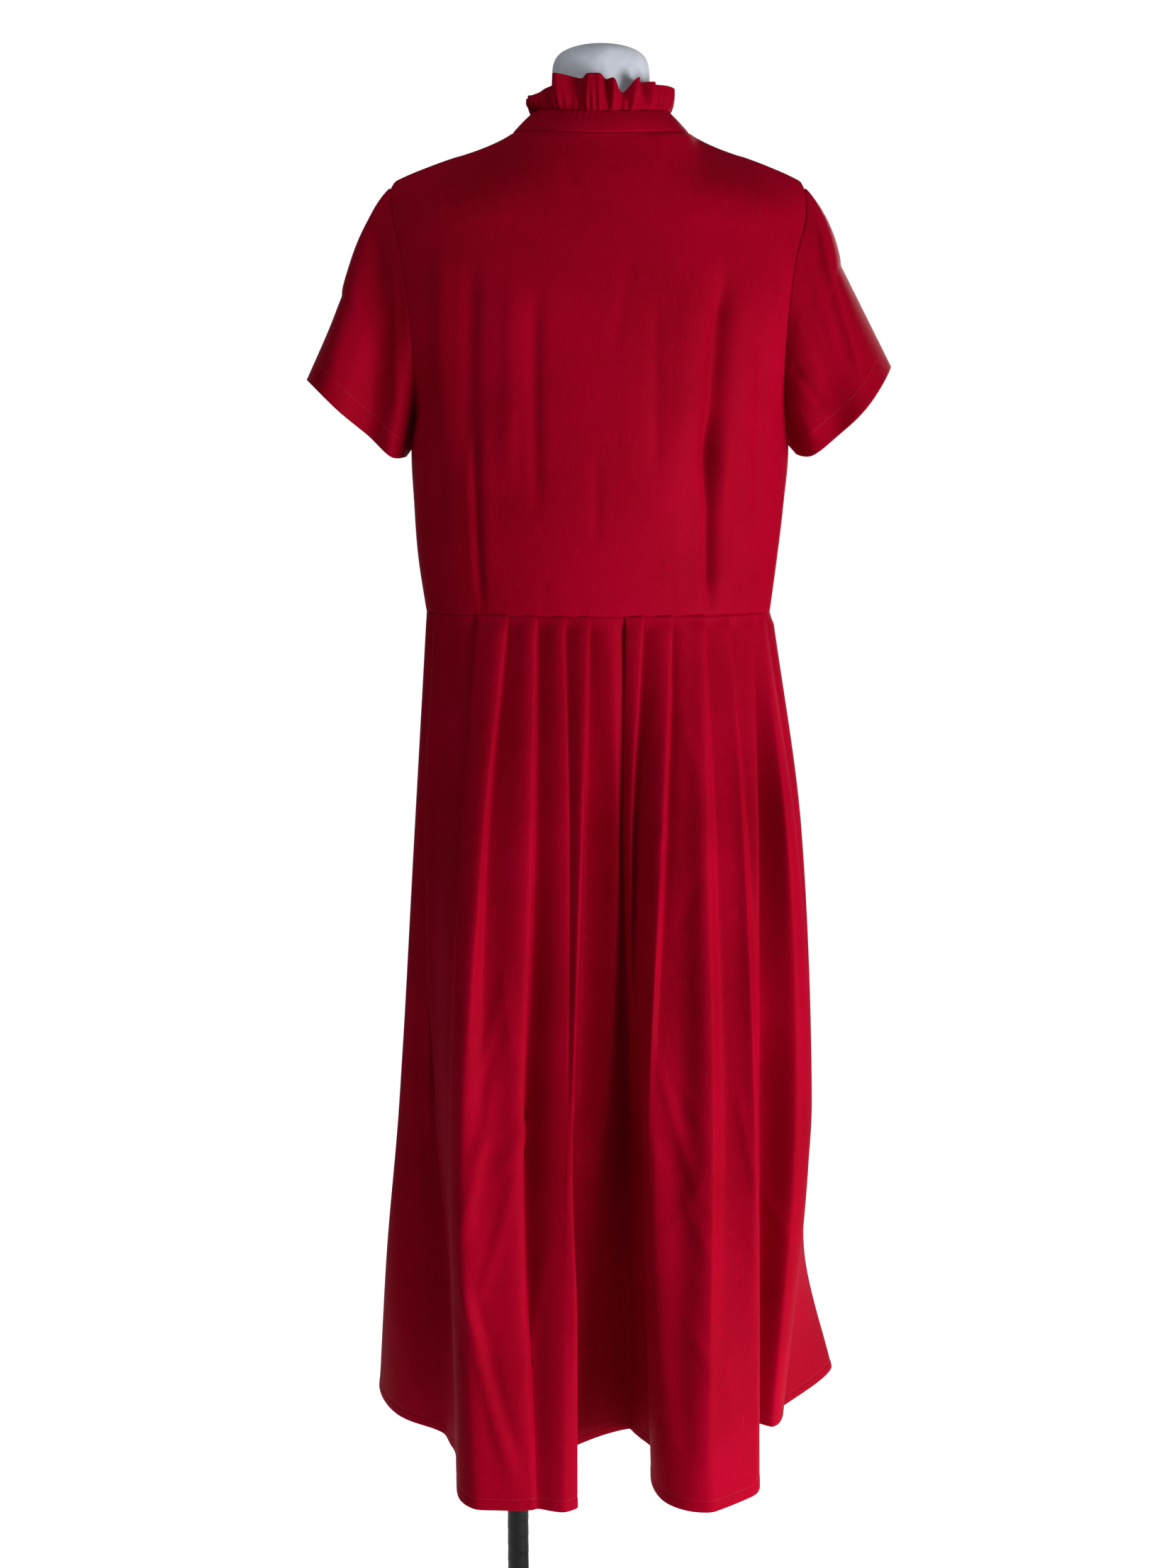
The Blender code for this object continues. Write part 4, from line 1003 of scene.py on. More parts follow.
# ---- collar stand ----
# A band of crepe that rises from the neckline and leans in towards the neck, split at the centre front. The
# frill's seam gathers its upper edge a little.
STAND_HALF_WIDTH = 0.0625
STAND_BACK, STAND_BACK_DROP = 0.050, 0.0074
STAND_FRONT, STAND_FRONT_DROP = 0.058, 0.038
STAND_SIDE_HEIGHT = 1.5702
STAND_BOW = 0.0015
COLLAR_OPENING = radians(0.6)
STAND_CUT = (0.47, 0.026)
STAND_COLUMNS = 320
STAND_ROWS = 16
STAND_PUCKERS = 74
STAND_PUCKER_DEPTH = 0.0006
STAND_FLARE = 0.0040


def stand_top(turn):
    deep, drop = (STAND_BACK, STAND_BACK_DROP) if cos(turn) > 0 else (STAND_FRONT, STAND_FRONT_DROP)
    return Vector((STAND_HALF_WIDTH * sin(turn), deep * cos(turn), STAND_SIDE_HEIGHT - drop * cos(turn) ** 2))


def collar_turn(around):
    return (around - 0.5) * 2 * (pi - COLLAR_OPENING)


def stand_place(around, up):
    turn = collar_turn(around)
    low = neckline(turn) + Vector((0, 0, SEAM_GAP * 1.5))
    point = low.lerp(stand_top(turn), up)
    point.x += STAND_FLARE * sin(turn) * abs(sin(turn)) ** 3 * (1 - up) ** 2
    if up < 0.001:
        point -= Vector((sin(turn) * TURNING_DEPTH, cos(turn) * TURNING_DEPTH, TURNING_WIDTH))
    return point + Vector((sin(turn), cos(turn), 0)) * (STAND_BOW * sin(pi * up))


def stand_relief(point, u, v):
    pucker = sin(STAND_PUCKERS * 2 * pi * u + 2.0 * sin(9 * u)) * (0.4 + 0.6 * sin(23 * u + 1.0))
    gathered = STAND_PUCKER_DEPTH * pucker * v ** 2 * (1.0 if v < 0.97 else 0.5)
    return gathered + seam_dip(v * STAND_CUT[1]) * 0.5


stand = crepe_sheet("collar_stand_crepe", stand_place, STAND_COLUMNS, STAND_ROWS, STAND_CUT,
                    relief=stand_relief, turned=True)


# ---- collar ruffle ----
# A strip half as long again as the stand, gathered into its upper seam, so that it stands up in uneven flutes
# that open towards a narrow rolled edge. Each row of the table is a crest, a valley or a turn of a flute.
RUFFLE_BELLY = 0.0018
RUFFLE_ROOT = 0.16
RUFFLE_FLUTES = (
    # turn from the centre back in degrees, out and rise at the free edge in millimetres
    (-180.0,  3.0, 26.0),
    (-171.0,  6.0, 27.0),
    (-162.0, -4.5, 25.5),
    (-151.0,  6.5, 27.0),
    (-141.0,  5.0, 26.5),
    (-133.0, -5.0, 24.5),
    (-122.0,  6.0, 24.0),
    (-113.0, -4.5, 21.0),
    (-103.0,  6.0, 20.0),
    (-93.0,  -3.5, 17.0),
    (-80.0,   6.0, 16.0),
    (-64.0,   6.0, 20.0),
    (-55.0,  -1.5, 21.0),
    (-46.0,   5.5, 22.5),
    (-37.5,  -4.5, 24.0),
    (-28.5,   6.5, 26.0),
    (-19.5,  -5.0, 15.5),
    (-10.0,   4.0, 26.0),
    (-4.0,   -3.0, 27.5),
    (1.5,     6.0, 30.0),
    (10.0,    6.0, 30.0),
    (17.5,   -5.0, 28.0),
    (25.0,   -3.5, 28.5),
    (32.0,    5.0, 29.5),
    (39.5,    5.0, 29.5),
    (48.5,   -4.5, 22.0),
    (60.0,    2.0, 15.0),
    (79.0,    7.0, 10.0),
    (91.0,   -4.0, 15.0),
    (101.0,   6.0, 19.0),
    (111.0,  -4.5, 21.5),
    (121.0,   6.0, 24.0),
    (131.0,  -5.0, 25.0),
    (142.0,   6.5, 26.5),
    (152.0,  -4.5, 25.5),
    (161.0,   6.0, 27.0),
    (170.0,  -4.0, 26.0),
    (180.0,   3.0, 26.0),
)
RUFFLE_CUT = (0.57, 0.028)
RUFFLE_FLUTE_COLUMNS = 12
RUFFLE_ROWS = 30
RUFFLE_GATHERS = 64
RUFFLE_GATHER_DEPTH = 0.0015
RUFFLE_RIPPLES = 29
RUFFLE_RIPPLE_DEPTH = 0.0017
RUFFLE_EDGE_ROLL = 0.0003


def ruffle_place(around, up):
    """The frill: its flutes grow from the stand seam, where it is finely gathered, to the free edge."""
    at = around * (len(RUFFLE_FLUTES) - 1)
    number = min(int(at), len(RUFFLE_FLUTES) - 2)
    turns = [row[0] for row in RUFFLE_FLUTES]
    degrees = turns[number] + (turns[number + 1] - turns[number]) * (at - number)
    flute = blend(turns, [Vector(row[1:]) * MM for row in RUFFLE_FLUTES], degrees)
    turn = collar_turn((degrees / 180 + 1) / 2)
    low = stand_top(turn) + Vector((0, 0, SEAM_GAP * 1.5))
    out = flute.x * (RUFFLE_ROOT + (1 - RUFFLE_ROOT) * up ** 0.65) + RUFFLE_BELLY * sin(pi * up)
    gathers = sin(RUFFLE_GATHERS * turn + 1.4 * sin(5 * turn)) * (0.65 + 0.35 * sin(11 * turn))
    ripples = sin(RUFFLE_RIPPLES * turn + 2.1 * sin(3 * turn + 0.6)) * (0.6 + 0.4 * sin(7 * turn + 2.0))
    out += RUFFLE_GATHER_DEPTH * gathers * exp(-(up / 0.50) ** 2) * min(1.0, 0.25 + up * 7)
    out += RUFFLE_RIPPLE_DEPTH * ripples * up ** 0.5
    if up < 0.001:
        out -= TURNING_DEPTH
        low.z -= TURNING_WIDTH
    return low + Vector((sin(turn), cos(turn), 0)) * out + Vector((0, 0, flute.y * up))


def ruffle_relief(point, u, v):
    rolled = exp(-((v - 0.975) / 0.02) ** 2)
    return RUFFLE_EDGE_ROLL * rolled + seam_dip(v * RUFFLE_CUT[1] * 2) * 0.6


ruffle = crepe_sheet("collar_ruffle_crepe", ruffle_place, RUFFLE_FLUTE_COLUMNS * (len(RUFFLE_FLUTES) - 1),
                     RUFFLE_ROWS, RUFFLE_CUT, relief=ruffle_relief, turned=True)


# ---- skirt ----
# A back and a front panel, laid in knife pleats into the waist seam and falling into deep soft folds at the
# hem, which is turned up 9 mm and stitched. Each row of a table is a fold line, from side seam to side seam.
HEM_HEIGHT = 0.298
SKIRT_LEVELS = (WAIST_HEIGHT - SEAM_GAP, 0.900, 0.620, HEM_HEIGHT)
SHIN_LEVEL = 0.460
BACK_FOLDS = (
    # fold           waist x, y     hip x, y      knee x, y     hem x, y
    ("seam_left",   (164.0, -14.0), (176.0, -42.0), (190.0, -55.0), (222.0, -75.0)),
    ("side_crest",  (166.0,  -1.0), (182.5, -12.0), (202.5, -14.0), (218.5, -22.0), (232.0, -42.0)),
    ("side_mid",    (164.5,  12.0), (176.0,  10.0), (188.0,  13.0), (202.0,  20.0), (205.0,  23.0)),
    ("pleat1_foot", (158.5,  20.0), (160.5,  13.0), (158.0,  12.0), (151.0,  20.0), (160.0,  58.0)),
    ("pleat1_edge", (158.5,  32.0), (166.0,  37.0), (163.0,  40.0), (150.5,  50.0), (148.0,  80.0)),
    ("pleat2",      (137.0,  51.0), (147.0,  66.0), (150.0,  84.0), (142.5,  84.0), (140.5, 100.0)),
    ("pleat3_foot", (119.5,  62.0), (135.0,  82.0), (143.5, 106.0), (137.0, 140.0)),
    ("pleat3_edge", (115.0,  70.0), (130.5,  94.0), (140.0, 124.0), (133.0, 178.0)),
    ("pleat4_edge", (85.0,  84.0), (108.5, 107.0), (128.0, 138.0), (118.0, 197.0)),
    ("pleat4_foot", (81.5,   79.0), (103.5, 94.5), (106.0, 133.0), (100.0, 199.0)),
    ("pleat5_edge", (59.0,   91.0), (63.0,  109.0), (71.5,  133.0), (64.0,  199.0)),
    ("pleat5_foot", (55.5,   85.0), (59.0,   91.0), (66.0,  108.0), (58.0,  196.0)),
    ("pleat6_edge", (33.0,   95.0), (29.0,  105.0), (33.5,  131.0), (39.0,  202.0)),
    ("pleat6_foot", (29.5,   90.0), (26.0,  102.0), (30.0,  132.0), (32.0,  202.0)),
    ("pleat7_edge", (10.0,   97.0), (17.0,  110.0), (25.5,  131.0), (20.5, 163.0), (19.5,  193.0)),
    ("pleat7_foot", (7.5,    89.0), (13.0,   69.0), (20.0,   64.0), (20.5,  70.0), (22.0,   96.0)),
    ("hollow",      (-8.0,  94.0), (-15.0, 79.0), (-7.5,  72.0), (1.0,   66.0), (8.0,   70.0)),
    ("pleat8_foot", (-17.0,  88.0), (-18.5, 69.0), (-13.5,  57.0), (-16.0,  57.0)),
    ("pleat8_edge", (-21.5,  94.0), (-21.0,  75.0), (-28.5,  61.0), (-34.0,  58.0)),
    ("pleat9_edge", (-40.0,  95.0), (-28.0,  89.0), (-34.0,  74.0), (-41.0,  70.0)),
    ("pleat9_foot", (-44.0,  89.0), (-32.5,  81.0), (-38.0,  86.0), (-43.0,  96.0)),
    ("pleat10_edge", (-66.5, 90.0), (-56.5, 111.0), (-43.0, 120.0), (-48.0, 150.0)),
    ("pleat10_foot", (-70.5, 84.0), (-61.5, 100.0), (-52.0, 126.0), (-57.0, 182.0)),
    ("pleat11",     (-80.0,  84.0), (-78.0, 107.0), (-76.0, 126.0), (-75.0, 198.0)),
    ("pleat12_edge", (-97.5, 79.0), (-99.5, 115.0), (-103.5, 142.0), (-96.0, 203.0)),
    ("pleat12_foot", (-102.0, 72.0), (-106.5, 102.0), (-114.5, 129.0), (-106.0, 201.0)),
    ("pleat13_edge", (-120.0, 67.0), (-132.5, 106.0), (-144.5, 134.0), (-147.5, 172.0)),
    ("pleat13_foot", (-124.5, 60.0), (-138.5, 97.0), (-149.0, 112.0), (-151.0, 130.0)),
    ("pleat14_edge", (-143.5, 48.0), (-147.0, 96.0), (-151.5, 90.0), (-153.5, 82.0)),
    ("pleat14_foot", (-147.0, 42.5), (-150.5, 60.0), (-153.0, 46.0), (-156.0, 38.0)),
    ("side_lobe",   (-151.5, 37.0), (-176.0, 83.0), (-189.0, 78.0), (-175.0, 47.0)),
    ("seam_right",  (-156.8, 25.0), (-186.0, 25.0), (-206.0, 18.0), (-201.0, 10.0), (-189.0,   4.0)),
)
FRONT_FOLDS = (
    ("seam_right",  (-156.8, 25.0), (-186.0, 25.0), (-206.0, 18.0), (-201.0, 10.0), (-189.0,   4.0)),
    ("flare",       (-165.0, -6.0), (-198.5, -14.0), (-214.0, -30.0), (-211.0, -44.0), (-252.0, -84.0)),
    ("flare_back",  (-160.0, -26.0), (-187.0, -44.0), (-195.0, -60.0), (-197.0, -70.0), (-226.0, -100.0)),
    ("pleat1_foot", (-144.0, -44.0), (-160.0, -60.0), (-160.0, -66.0), (-182.0, -88.0)),
    ("pleat1_edge", (-139.0, -53.0), (-152.0, -76.0), (-152.0, -92.0), (-168.0, -120.0)),
    ("pleat2",      (-122.0, -66.0), (-134.0, -96.0), (-138.0, -126.0), (-150.0, -176.0)),
    ("pleat3_foot", (-101.0, -72.0), (-115.0, -103.0), (-122.0, -137.0), (-128.0, -200.0)),
    ("pleat3_edge", (-97.0, -79.0), (-109.0, -108.0), (-116.0, -141.0), (-120.0, -203.0)),
    ("pleat4_foot", (-78.0, -80.0), (-86.0, -108.0), (-90.0, -138.0), (-88.0, -206.0)),
    ("pleat4_edge", (-74.0, -87.0), (-80.0, -112.0), (-84.0, -139.0), (-80.0, -204.0)),
    ("pleat5_foot", (-56.0, -86.0), (-58.0, -102.0), (-58.0, -118.0), (-58.0, -176.0)),
    ("pleat5_edge", (-52.0, -92.0), (-53.0, -104.0), (-54.0, -108.0), (-55.0, -150.0)),
    ("pleat6_foot", (-34.0, -89.0), (-34.0, -92.0), (-32.0, -88.0), (-34.0, -94.0)),
    ("pleat6_edge", (-30.0, -95.0), (-29.0, -96.0), (-26.0, -90.0), (-26.0, -92.0)),
    ("pleat7_foot", (-12.0, -91.0), (-10.0, -102.0), (-6.0, -98.0), (-4.0, -104.0)),
    ("pleat7_edge", (-8.0, -97.0), (-5.0, -107.0), (0.0, -103.0), (4.0, -106.0)),
    ("pleat8_foot", (10.0, -91.0), (14.0, -100.0), (18.0, -95.0), (24.0, -98.0)),
    ("pleat8_edge", (14.0, -97.0), (19.0, -104.0), (24.0, -97.0), (32.0, -100.0)),
    ("pleat9_foot", (32.0, -89.0), (36.0, -96.0), (42.0, -100.0), (46.0, -120.0)),
    ("pleat9_edge", (36.0, -95.0), (41.0, -106.0), (48.0, -116.0), (52.0, -160.0)),
    ("pleat10_foot", (54.0, -86.0), (58.0, -108.0), (64.0, -132.0), (66.0, -198.0)),
    ("pleat10_edge", (58.0, -92.0), (63.0, -114.0), (70.0, -138.0), (74.0, -206.0)),
    ("pleat11_foot", (76.0, -80.0), (84.0, -108.0), (92.0, -138.0), (98.0, -206.0)),
    ("pleat11_edge", (80.0, -86.0), (89.0, -112.0), (98.0, -140.0), (106.0, -204.0)),
    ("pleat12_foot", (98.0, -72.0), (110.0, -96.0), (120.0, -126.0), (134.0, -184.0)),
    ("pleat12_edge", (102.0, -78.0), (115.0, -97.0), (126.0, -120.0), (142.0, -168.0)),
    ("pleat13_foot", (120.0, -60.0), (132.0, -76.0), (142.0, -82.0), (158.0, -108.0)),
    ("pleat13_edge", (124.0, -66.0), (138.0, -80.0), (149.0, -84.0), (166.0, -106.0)),
    ("pleat14_foot", (142.0, -43.0), (154.0, -64.0), (166.0, -80.0), (186.0, -116.0)),
    ("pleat14_edge", (146.0, -49.0), (159.0, -66.0), (172.0, -80.0), (196.0, -112.0)),
    ("seam_left",   (164.0, -14.0), (176.0, -42.0), (190.0, -55.0), (222.0, -75.0)),
)
SKIRT_BACK_CREASES = (
    ("left side fold",   (161.0, 1078.0), (170.0, 560.0),    -1.0,   3.2,   3.6),
    ("left side step",   (154.0, 1070.0), (163.0, 580.0),    -1.0,   5.0,  -1.0),
    ("left lobe drag",   (132.0, 532.0),  (73.0, 306.0),      6.0,   6.5,   2.8),
    ("left lobe hollow", (122.0, 516.0),  (64.0, 318.0),      6.0,   7.0,  -2.0),
    ("left lobe short",  (128.0, 490.0),  (101.0, 434.0),     2.0,   4.5,   2.1),
    ("left upper drag",  (128.0, 604.0),  (94.0, 648.0),      3.0,   6.0,   1.5),
    ("left middle drag", (98.0, 596.0),   (64.0, 652.0),      3.0,   6.5,   1.6),
    ("left long drag",   (95.0, 718.0),   (137.0, 515.0),    -3.0,   6.0,   1.9),
    ("left inner drag",  (75.0, 622.0),   (116.0, 478.0),    -3.0,   5.0,   1.5),
    ("left high drag",   (90.0, 775.0),   (118.0, 683.0),    -2.0,   5.0,   1.4),
    ("left foot drag",   (49.0, 545.0),   (76.0, 390.0),     -2.0,   5.0,   1.3),
    ("right mid drag",   (-67.0, 612.0),  (-113.0, 503.0),    3.0,   6.0,   1.7),
    ("right slant drag", (-50.0, 716.0),  (-89.0, 590.0),     3.0,   5.0,   1.4),
    ("right foot drag",  (-74.0, 480.0),  (-130.0, 388.0),    4.0,   6.0,   1.5),
    ("right outer drag", (-126.0, 684.0), (-150.0, 570.0),    2.0,   5.0,   1.2),
    ("left knee pucker", (90.0, 796.0),   (82.0, 706.0),      1.0,   5.0,   1.1),
    ("right knee drag",  (-62.0, 690.0),  (-98.0, 560.0),     3.0,   7.0,   1.6),
    ("right upper drag", (-62.0, 706.0),  (-102.0, 636.0),    2.0,   5.0,   1.3),
    ("right long drag",  (-44.0, 662.0),  (-88.0, 566.0),     3.0,   6.5,  -1.3),
    ("right low drag",   (-58.0, 532.0),  (-102.0, 616.0),    3.0,   8.0,   1.2),
    ("right hem drag",   (-66.0, 470.0),  (-84.0, 330.0),     3.0,   9.0,  -1.2),
    ("right side drag",  (-154.0, 560.0), (-190.0, 505.0),    2.0,   6.0,   1.6),
    ("right hip drag",   (-36.0, 872.0),  (-64.0, 934.0),     2.0,   6.0,   1.0),
    ("right thigh drag", (-66.0, 812.0),  (-90.0, 882.0),     2.0,   6.0,  -1.0),
    ("right hip swell",  (-74.0, 1030.0), (-94.0, 956.0),     2.0,   6.5,   1.2),
    ("middle hip swell", (-52.0, 1040.0), (-43.0, 985.0),     1.0,   4.5,   0.9),
    ("left side long",   (181.0, 700.0),  (176.0, 480.0),     4.0,  10.0,   2.0),
    ("left hem sag",     (196.0, 420.0),  (182.0, 316.0),     3.0,   9.0,   1.6),
    ("right hem sag",    (-118.0, 450.0), (-128.0, 320.0),    3.0,   9.0,   1.2),
)
SKIRT_FRONT_CREASES = (
    ("right lobe drag",  (-128.0, 540.0), (-76.0, 312.0),     6.0,   7.0,   2.3),
    ("right lobe hollow", (-118.0, 520.0), (-66.0, 322.0),     6.0,   7.0,  -1.6),
    ("right upper drag", (-112.0, 700.0), (-84.0, 626.0),     3.0,   6.0,   1.3),
    ("right hip drag",   (-74.0, 930.0),  (-50.0, 866.0),     2.0,   6.0,   1.0),
    ("left lobe drag",   (120.0, 560.0),  (78.0, 330.0),     -5.0,   7.0,   2.1),
    ("left lobe hollow", (130.0, 520.0),  (90.0, 320.0),     -5.0,   7.0,  -1.5),
    ("left knee drag",   (70.0, 720.0),   (102.0, 640.0),    -3.0,   6.5,   1.3),
    ("left hip drag",    (60.0, 940.0),   (84.0, 872.0),     -2.0,   6.0,  -1.0),
    ("left side drag",   (160.0, 560.0),  (188.0, 470.0),    -3.0,   7.0,   1.5),
    ("flare drag",       (-196.0, 500.0), (-222.0, 360.0),    4.0,   7.0,   1.5),
    ("middle swell",     (-16.0, 760.0),  (-10.0, 600.0),     1.0,   8.0,   1.0),
)
SKIRT_COLUMN_STEP = 0.0040
PLEAT_STEP_COLUMNS = 9
PLEAT_TUCK = 0.0030        # how far a tucked foot lies back under its edge
PLEAT_LEAST_DEPTH = 0.0017
PLEAT_UNDER = (1.0, 0.8, 0.2, 0.0)       # how much of that tuck a pleat has at each level
PLEAT_UNDER_OWN = {
    "pleat1": (1.0, 1.0, 0.6, 0.0),
    "pleat3": (1.0, 0.4, 0.0, 0.0),
    "pleat4": (1.0, 0.7, 0.0, 0.0),
    "pleat5": (1.0, 1.0, 0.8, 0.0),
    "pleat6": (1.0, 0.7, 0.0, 0.0),
    "pleat7": (1.0, 1.0, 1.0, 0.8),
    "pleat8": (1.0, 0.3, 0.0, 0.0),
    "pleat9": (1.0, 0.9, 0.0, 0.0),
    "pleat10": (1.0, 0.8, 0.0, 0.0),
    "pleat12": (1.0, 0.2, 0.0, 0.0),
    "pleat13": (1.0, 0.3, 0.0, 0.0),
    "pleat14": (1.0, 0.6, 0.2, 0.0),
}
PLEAT_SWELL = (0.085, 0.060, 0.045, 0.015)   # bulge of the cloth between two folds, in shares of its width
PLEAT_CRISP = (1.0, 0.90, 0.40, 0.10)    # 1 is straight from fold to fold, 0 is a smooth curve through them
SOFTENING_PASSES = (2, 3, 7, 10)
PLEAT_SWELL_OWN = {
    # bulges of the intervals that aren't like the rest, each by the fold that it starts at
    "pleat1_edge": (0.04, -0.03, -0.06, -0.02),
    "pleat3_edge": (0.07, 0.05, 0.02, 0.0),
    "pleat7_foot": (0.05, -0.05, -0.05, 0.0),
    "hollow": (0.03, 0.01, 0.0, 0.0),
    "pleat5_foot": (0.09, 0.07, 0.12, 0.03),
    "pleat11": (0.07, 0.08, 0.05, 0.03),
    "pleat12_foot": (0.05, -0.07, -0.08, -0.05),
    "pleat13_foot": (0.03, 0.04, 0.0, 0.0),
    "pleat14_foot": (0.03, -0.05, -0.04, 0.0),
    "side_lobe": (0.02, 0.10, 0.10, 0.06),
}
PLEAT_FLAT = 0.25          # share of a pleat's depth left where the waist seam presses it
PLEAT_FLAT_REACH = 0.013
SEAM_CURVE_STEPS = 240
SKIRT_HEM = 0.009
HEM_FOLD_LIFT = 0.00035
SKIRT_FINE_ROWS = 9        # closer rows next to the waist seam, and as many over the hem
SKIRT_FINE_STEP = 0.0016   # their spacing at the waist
SKIRT_FINE_HEM = 0.0145    # the height over which they lie at the hem
HEM_GROOVE = 0.0005        # depth and width of the dent that the hem's stitching makes
HEM_GROOVE_WIDTH = 0.0009
SKIRT_ROWS = 118
SKIRT_CUT = (0.99, 0.825)


def fold_at(fold, height):
    """Where a fold line passes a height, as a point of that section."""
    levels = list(SKIRT_LEVELS)
    if len(fold) > len(levels) + 1:
        levels.insert(-1, SHIN_LEVEL)
    point = blend([-level for level in levels], [Vector(pair) * MM for pair in fold[1:]], -height)
    return Vector((point.x, point.y, height))


def pleat_pair(before, after):
    """True where two neighbouring fold lines are the edge and the foot of one pleat."""
    first, second = before[0].split("_"), after[0].split("_")
    return first[0] == second[0] and {first[-1], second[-1]} == {"edge", "foot"}


def skirt_columns(folds):
    """Each column as (fold number, share towards the next fold, True on a pleat's step)."""
    columns = []
    for number in range(len(folds) - 1):
        step = pleat_pair(folds[number], folds[number + 1])
        widest = max((fold_at(folds[number + 1], height) - fold_at(folds[number], height)).length
                     for height in SKIRT_LEVELS)
        count = max(PLEAT_STEP_COLUMNS if step else 1, ceil(widest / SKIRT_COLUMN_STEP))
        columns += [(number, share / count, step) for share in range(count)]
    return columns + [(len(folds) - 2, 1.0, False)]


def skirt_heights():
    """Heights of the rows from the waist seam down: close at the seam and over the hem."""
    fine = [SKIRT_FINE_STEP * step for step in range(SKIRT_FINE_ROWS)]
    top, bottom = SKIRT_LEVELS[0], HEM_HEIGHT
    coarse_top, coarse_bottom = fine[-1], top - bottom - SKIRT_FINE_HEM
    coarse = [coarse_top + (coarse_bottom - coarse_top) * step / SKIRT_ROWS
              for step in range(1, SKIRT_ROWS + 1)]
    hem = [coarse_bottom + SKIRT_FINE_HEM * step / SKIRT_FINE_ROWS for step in range(1, SKIRT_FINE_ROWS + 1)]
    return [top - depth for depth in fine + coarse + hem]


def eased(share):
    share = min(1.0, max(0.0, share))
    return share * share * (3 - 2 * share)


def at_height(values, height):
    """A number that has one value at each level of the skirt, at a height between them."""
    return blend([-level for level in SKIRT_LEVELS], values, -height)


def skirt_line(folds, height):
    """The fold lines at one height, each pleat's foot tucked back under its edge."""
    line = [fold_at(fold, height) for fold in folds]
    tucked = list(line)
    for number in range(len(line) - 1):
        if not pleat_pair(folds[number], folds[number + 1]):
            continue
        foot, edge, before = (number, number + 1, number + 2)
        if "edge" in folds[number][0]:
            foot, edge, before = (number + 1, number, number - 1)
        under = max(0.0, at_height(PLEAT_UNDER_OWN.get(folds[edge][0].split("_")[0], PLEAT_UNDER), height))
        back = (line[before] - line[edge]).normalized()
        inward = Vector((back.y, -back.x, 0)) if before < edge else Vector((-back.y, back.x, 0))
        shown = max(0.0, -(line[foot] - line[edge]).dot(back))
        sunk = (line[foot] - line[edge]).dot(inward)
        wanted = max(sunk, PLEAT_LEAST_DEPTH * under)
        tucked[foot] = line[foot] + inward * (wanted - sunk) + back * ((shown + PLEAT_TUCK) * under)
    return tucked


def swell_between(folds, number, share):
    """The shape of the bulge from one fold to the next: fullest near a pleat's edge."""
    last = number + 2 >= len(folds)
    if not last and "edge" in folds[number + 1][0] and pleat_pair(folds[number + 1], folds[number + 2]):
        return 6.75 * share ** 2 * (1 - share)
    if number > 0 and "edge" in folds[number][0] and pleat_pair(folds[number - 1], folds[number]):
        return 6.75 * share * (1 - share) ** 2
    return 4 * share * (1 - share)


def seam_curve(levels):
    """The bodice's lower edge from side seam to side seam, as points with their level normals."""
    points = [level_point(levels[0], side, step / SEAM_CURVE_STEPS) for side in (1, -1)
              for step in range(SEAM_CURVE_STEPS + 1)]
    points = points[SEAM_CURVE_STEPS::-1] + points[SEAM_CURVE_STEPS + 2:]
    curve = []
    for before, here, after in zip(points[:1] + points, points, points[1:] + points[-1:]):
        along = (after - before).normalized()
        curve.append((here, Vector((along.y, -along.x, 0))))
    return curve


def pressed_to_seam(row, curve, pressed):
    """A row's points drawn in to the seam's curve, with only this share of their distance from it left."""
    flat = []
    for point in row:
        seat, normal = min(curve, key=lambda pair: (pair[0].x - point.x) ** 2 + (pair[0].y - point.y) ** 2)
        away = normal.x * (point.x - seat.x) + normal.y * (point.y - seat.y)
        flat.append(point - normal * (away * (1 - pressed)))
    return flat


BACK_SEAM_CURVE = seam_curve(BACK_LEVELS)
FRONT_SEAM_CURVE = seam_curve(FRONT_LEVELS)


def skirt_row(folds, columns, height):
    """One level row of the skirt: crisp tucked pleats at the waist, round folds at the hem."""
    line = skirt_line(folds, height)
    stations = [0.0]
    for before, after in zip(line, line[1:]):
        stations.append(stations[-1] + max((after - before).length, 0.001))
    crisp = at_height(PLEAT_CRISP, height)
    row = []
    for number, share, step in columns:
        straight = line[number].lerp(line[number + 1], share)
        at = stations[number] + (stations[number + 1] - stations[number]) * share
        low = max(0, number - 1)
        smooth = blend(stations[low:number + 3], line[low:number + 3], at)
        point = smooth.lerp(straight, crisp)
        if not step:
            chord = line[number + 1] - line[number]
            outward = Vector((chord.y, -chord.x, 0)).normalized()
            share_of_width = at_height(PLEAT_SWELL_OWN.get(folds[number][0], PLEAT_SWELL), height)
            point += outward * (chord.length * share_of_width * swell_between(folds, number, share))
        row.append(point)
    passes = at_height(SOFTENING_PASSES, height)
    while passes > 0:
        softer = [row[0]]
        for before, here, after in zip(row, row[1:], row[2:]):
            near, far = (here - before).length, (after - here).length
            middle = before.lerp(after, near / max(near + far, 0.00001))
            softer.append(here.lerp(middle, 0.5 * min(1.0, passes)))
        row = softer + [row[-1]]
        passes -= 1
    pressed = PLEAT_FLAT + (1 - PLEAT_FLAT) * eased((SKIRT_LEVELS[0] - height) / PLEAT_FLAT_REACH)
    if pressed < 1.0:
        row = pressed_to_seam(row, BACK_SEAM_CURVE if folds is BACK_FOLDS else FRONT_SEAM_CURVE, pressed)
    return row


